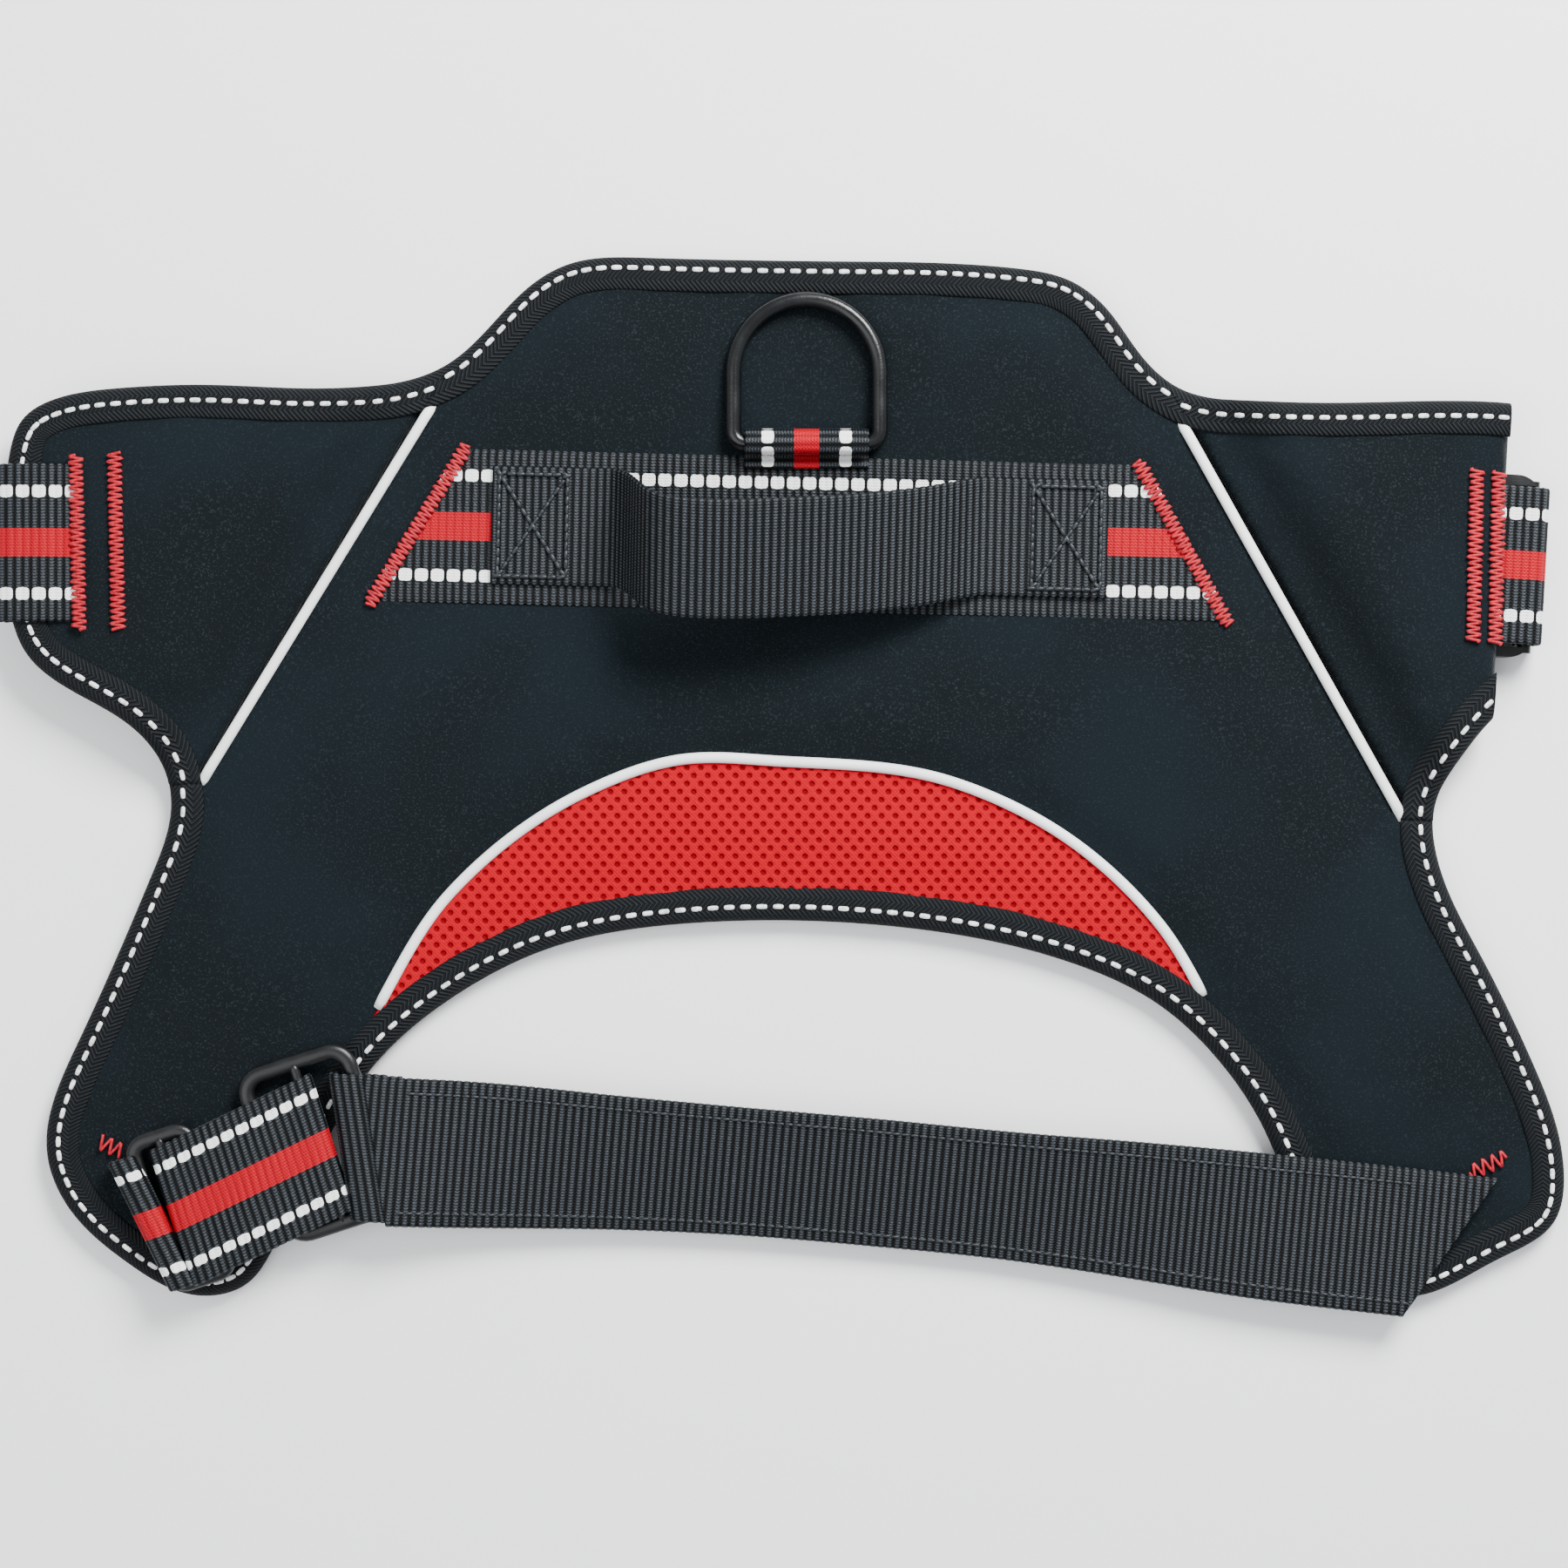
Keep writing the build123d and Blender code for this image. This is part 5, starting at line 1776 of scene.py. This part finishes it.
@dataclass
class LeadRing:
    """Black D-ring in its striped webbing loop."""

    place: tuple[float, float] = (7.3, 109.9)
    wire: float = 5.3
    width: float = 52.5
    length: float = 51.9
    corner: float = 4.0
    droop: float = 2.0
    loop_width: float = 40.0

    @property
    def radius(self) -> float:
        """From the bar's middle to the middle of the loop's webbing."""
        return self.wire / 2 + 1.1

    @property
    def level(self) -> float:
        """Height of the bar's middle."""
        return COVER_TOP + self.radius + WEBBING / 2

    def ring_path(self) -> Points:
        """Closed centre line of the ring: straight bar, round corners, two legs and a half circle."""
        half = (self.width - self.wire) / 2
        top = self.length - self.wire
        turn = np.linspace(0, np.pi, 60)
        bow = np.stack([half * np.cos(turn), top - half + half * np.sin(turn)], axis=1)
        quarter = np.linspace(0, np.pi / 2, 10)
        left = self.corner * (1 - np.stack([np.cos(quarter), np.sin(quarter)], axis=1)) - (half, 0)
        right = left[::-1] * (-1, 1)
        flat_loop = even_steps(np.vstack([bow, left, right, bow[:1]]), 241)[:-1]
        tilt = np.radians(self.droop)
        return np.column_stack([self.place[0] + flat_loop[:, 0], self.place[1] + flat_loop[:, 1] * np.cos(tilt),
                                self.level - flat_loop[:, 1] * np.sin(tilt)])

    def build(self) -> None:
        """Builds the ring and the loop."""
        ring = COATED.dress(tube("lead_d_ring", self.ring_path(), self.wire / 2, ring=True, sides=18))
        on_body(ring, "d_ring", "d_ring")
        turn = np.radians(np.linspace(-96, 205, 90))
        arc = (self.place[1], self.level) + self.radius * np.stack([np.cos(turn), np.sin(turn)], axis=1)
        tail = np.array([(self.place[1] - 8.0, COVER_TOP + 2.4), (self.place[1] - 5.4, COVER_TOP + 2.3)])
        view = even_steps(np.vstack([tail, arc[arc[:, 0] > self.place[1] - 3.3]]), 160)
        path = np.column_stack([np.full(len(view), self.place[0]), view])
        strap = Strap("lead_loop", path, np.array([-1.0, 0, 0]), self.loop_width, LOOP_STRIPED).build()
        on_body(strap, "vest", "lead_ring_loop")


@dataclass
class ThreeBar:
    """Moulded frame with a middle bar, lying over the left flap."""

    name: str
    body: str
    node: str
    place: Points
    size: tuple[float, float]
    turn: float = 18.0
    level: float = 12.5
    wall: float = 5.2
    corner: float = 9.0
    flatten: float = 0.66

    def build(self) -> None:
        """Builds the frame and its bar as one dressed piece each."""
        way, across = heading(self.turn), heading(self.turn + 90)
        centre = np.append(self.place, self.level)
        loop = rounded_loop(self.size[0] - self.wall, self.size[1] - self.wall, self.corner - self.wall / 2)
        path = centre + loop[:, :1] * way + loop[:, 1:] * across
        rail = tube(self.name, path, self.wall / 2, ring=True, sides=16, flatten=self.flatten)
        on_body(PLASTIC.dress(rail), self.body, self.node)
        half = self.size[1] / 2 - self.wall / 2
        bar = centre + np.linspace(-half, half, 24)[:, None] * across
        on_body(PLASTIC.dress(tube(self.name + "_bar", bar, 1.7, sides=16)), self.body)


@dataclass
class ChestAdjuster:
    """Left flap hardware: slider, ring and the striped straps between them."""

    ring_place: tuple[float, float] = (-149.6, -117.0)
    spacing: float = 49.0
    turn: float = 25.8
    bar_turn: float = 18.0
    level: float = 12.5
    width: float = 46.0
    loop_view: View = (
        (-3.4, 0.3), (-2.7, 2.7), (0.2, 3.7), (6, 3.8), (16, 4.4), (24, 4.7), (33, 4.4), (43, 3.8), (49.2, 3.6),
        (52.0, 2.6), (52.8, 0), (51.6, -2.7), (48, -3.6), (38, -3.9), (12, -3.9), (1, -3.7), (-2.6, -2.6),
        (-3.5, -0.2))
    anchor_view: View = (
        (3.0, -3.7), (0.5, -3.9), (-2.4, -3.2), (-3.8, -0.8), (-3.4, 1.8), (-1.4, 3.5), (1.2, 3.6), (3.6, 2.2),
        (4.4, 0.2))
    anchor_shift: float = 10.2  # from the slider's middle bar to its outer one

    def build(self) -> None:
        """Builds the hardware, the adjusting loop and the anchor strap."""
        way = heading(self.turn)
        across = heading(self.bar_turn + 90)
        ring = np.append(self.ring_place, self.level)
        slider = ring - way * self.spacing
        ThreeBar("chest_triglide", "chest_ring", "chest_ring", ring[:2] + across[:2] * 1.5,
                 (40.0, 59.0)).build()
        ThreeBar("chest_slide_bar", "chest_slider", "chest_slider", slider[:2] + across[:2] * 2.0, (24.0, 53.0),
                 corner=7.0).build()
        path = laid(slider, way, self.loop_view, 420)
        strap = Strap("adjusting_loop", path, across, self.width, CHEST_STRIPED, shift=0.6).build()
        tilting(strap, slider + way * 20, slider + way * 31, "chest_adjust_strap")
        way = heading(self.bar_turn)
        path = laid(slider - way * self.anchor_shift, way, self.anchor_view, 200)
        strap = Strap("anchor_webbing", path, heading(self.bar_turn + 98), self.width, CHEST_STRIPED,
                      shift=1.2).build()
        on_body(strap, "vest", "chest_anchor_strap")
        for name, middle, angle, length in (("left_bartack", (-217.6, -117.2), 64, 8.0),
                                            ("right_bartack", (227.4, -123.2), -66, 13.0)):
            row = zigzag(name, middle, angle, length, COVER_TOP + 1.9, width=5.4, pitch=3.2, thick=0.5)
            on_body(row, "vest", "chest_bartacks")


@dataclass
class ChestStrap:
    """Wide plain strap from the left ring over the neck opening to the right flap."""

    turn: float = -5.3
    fold_turn: float = 8.7
    width: float = 48.0
    half_thickness: float = 1.7
    start: tuple[float, float] = (-131.5, -118.0)
    course: tuple[tuple[float, float], ...] = (
        (-131.5, -118.0), (-80.0, -120.9), (0.0, -126.4), (100.0, -136.2), (160.0, -143.5), (200.0, -147.9),
        (240, -152.6))
    side_view: tuple[tuple[float, float, float], ...] = (
        (-6, 16.3, 0), (4, 16.1, 1), (12, 14.9, 3), (24, 12.4, 6), (40, 10.2, 12), (70, 8.8, 22),
        (110, 8.4, 28), (160, 8.2, 29), (210, 8.4, 28), (250, 9.2, 20), (285, 10.2, 10), (320, 10.5, 4), (360, 10.4, 2),
        (380, 10.4, 2))
    end_line: View = ((230.1, -128.0), (199.9, -167.0))
    rail: tuple[float, float, float] = (-139.4, -116.9, 12.5)
    fold_view: View = (
        (15, -3.3), (12, -3.4), (8, -3.6), (3, -3.6), (-1.2, -3.2), (-2.9, -1.4), (-3.0, 0.9), (-1.5, 3.1),
        (1.5, 3.9), (6, 3.6), (10, 2.6), (15, 1.0), (20, -0.6))
    row_pitch: float = 2.9
    row_stitch: tuple[float, float, float] = (2.5, 0.9, 0.6)

    def __post_init__(self) -> None:
        """Finds the strap's directions and its origin."""
        self.way, self.square = heading(self.turn), heading(self.turn + 90)
        self.origin = np.array([*self.start, 0.0])
        self.rides = self.origin + self.way * 42, self.origin + self.way * 4

    def build(self) -> None:
        """Builds the strap, its loop round the ring's rail, and its two sewn rows."""
        self.ribbon()
        out = heading(self.turn + 2)
        base = np.array(self.rail)
        path = laid(base, out, self.fold_view, 240)
        loop = Strap("chest_loop", path, heading(self.fold_turn + 90), self.width, PLAIN).build()
        tilting(loop, base + out * 22, base + out * 11, "chest_strap_loop")
        for row, word in ((-19.4, "low"), (19.2, "high")):
            u = np.arange(10.0, 338.0 - (row + self.width / 2) * 0.1, self.row_pitch)
            spots = self.place(u, np.full(len(u), row), 1.78)
            piece = stitches("chest_row_" + word, spots, np.gradient(spots, axis=0),
                             np.tile(UP, (len(spots), 1)), self.row_stitch)
            tilting(BLACK_THREAD.dress(piece), *self.rides)

    def place(self, u: Points, across: Points, level: Any) -> Points:
        """Points of the strap: its course and side view at u, with the width rolled about its middle.

        Args:
            u: Distances along the strap.
            across: Distances from its middle line.
            level: Heights over its middle layer.

        Returns:
            Points with one more axis of three.
        """
        course = np.column_stack([np.array(self.course), np.zeros(len(self.course))])
        bends = soft_curve(course, 300) - self.origin
        view = soft_curve(np.array(self.side_view), 500)
        height = np.interp(u, view[:, 0], view[:, 1])
        lean = np.radians(np.interp(u, view[:, 0], view[:, 2]))
        side = np.interp(u, bends @ self.way, bends @ self.square) + across * np.cos(lean)
        rise = height + across * np.sin(lean) * 0.3 + level
        return self.origin + u[..., None] * self.way + side[..., None] * self.square + rise[..., None] * UP

    def ribbon(self) -> None:
        """Builds the strap: lines across it turn from the loop's fold to the sewn fold at its end."""
        v, level = strap_section(WEBBING, self.width)
        low, high = (np.append(point, 0.0) for point in self.end_line[::-1])
        first = (v * self.width / 2 * heading(self.fold_turn + 90)[:, None]).T @ self.way
        last = (low + (v[:, None] + 1) / 2 * (high - low) - self.origin) @ self.way
        count = int(last.max() / (PLAIN.rib / RIB_STEPS))
        u = first[:, None] + (last - first)[:, None] * np.linspace(0, 1, count)[None]
        rib = rib_wave(u, PLAIN.rib)
        thick = level[:, None] * (self.half_thickness - RIB_HEIGHT * (1 - rib))
        grid = self.place(u, v[:, None] * swollen(self.width, rib), thick)
        tilting(webbing_skin("chest_webbing", grid, u, v, self.width, PLAIN), *self.rides, "chest_strap")


@dataclass
class Studio:
    """Pale floor, soft light from above and a camera that looks straight down."""

    height: float = 1.2
    span: float = 0.5076
    sensor: float = 36.0

    def build(self) -> None:
        """Makes the floor, the lights and the camera."""
        self.floor()
        world = bpy.data.worlds.new("studio")
        world.use_nodes = True
        world.node_tree.nodes["Background"].inputs[0].default_value = (0.93, 0.96, 1.0, 1)
        world.node_tree.nodes["Background"].inputs[1].default_value = 0.85
        bpy.context.scene.world = world
        self.lamp("key", (0.55, 0.95, 0.95), 0.6, 62.0)
        self.lamp("fill", (-0.8, -0.3, 1.4), 1.4, 18.0)
        data = bpy.data.cameras.new("camera")
        data.sensor_width = self.sensor
        data.lens = self.sensor * (self.height - COVER_TOP * MM) / self.span
        data.clip_start = 0.01
        camera = bpy.data.objects.new("camera", data)
        camera.location = (0.0, 0.0, self.height)
        bpy.context.scene.collection.objects.link(camera)
        bpy.context.scene.camera = camera

    def floor(self) -> None:
        """Plain pale floor, just below the vest."""
        size, level = 6000.0, -0.4
        square = np.array([(-1, -1), (1, -1), (1, 1), (-1, 1)]) * size
        grid = np.column_stack([square, np.full(4, level)])
        piece = build_mesh("floor", grid, np.arange(4), np.array([4]), closed=False)
        paint = bpy.data.materials.new("floor_paint")
        paint.use_nodes = True
        shader = paint.node_tree.nodes["Principled BSDF"]
        shader.inputs["Base Color"].default_value = (0.88, 0.885, 0.89, 1)
        shader.inputs["Roughness"].default_value = 0.9
        piece.data.materials.append(paint)

    def lamp(self, name: str, place: tuple[float, float, float], size: float, power: float) -> None:
        """Square area light that faces the vest.

        Args:
            name: Object name.
            place: Where it stands.
            size: Side length in metres.
            power: Watts.
        """
        data = bpy.data.lights.new(name, "AREA")
        data.size = size
        data.energy = power
        lamp = bpy.data.objects.new(name, data)
        lamp.location = place
        lamp.rotation_euler = (-Vector(place)).to_track_quat("-Z", "Y").to_euler()
        bpy.context.scene.collection.objects.link(lamp)


def main() -> None:
    """Builds every sub-assembly in order."""
    logging.basicConfig(level=logging.INFO, format="%(message)s")
    rim = Outline()
    VestBody(rim).build()
    for seam in (LEFT_SEAM, RIGHT_SEAM):
        SideWing(rim, seam).build()
    SideStraps().build()
    BackStrap().build()
    GrabHandle().build()
    LeadRing().build()
    ChestAdjuster().build()
    ChestStrap().build()
    Studio().build()


if __name__ == "__main__":
    main()
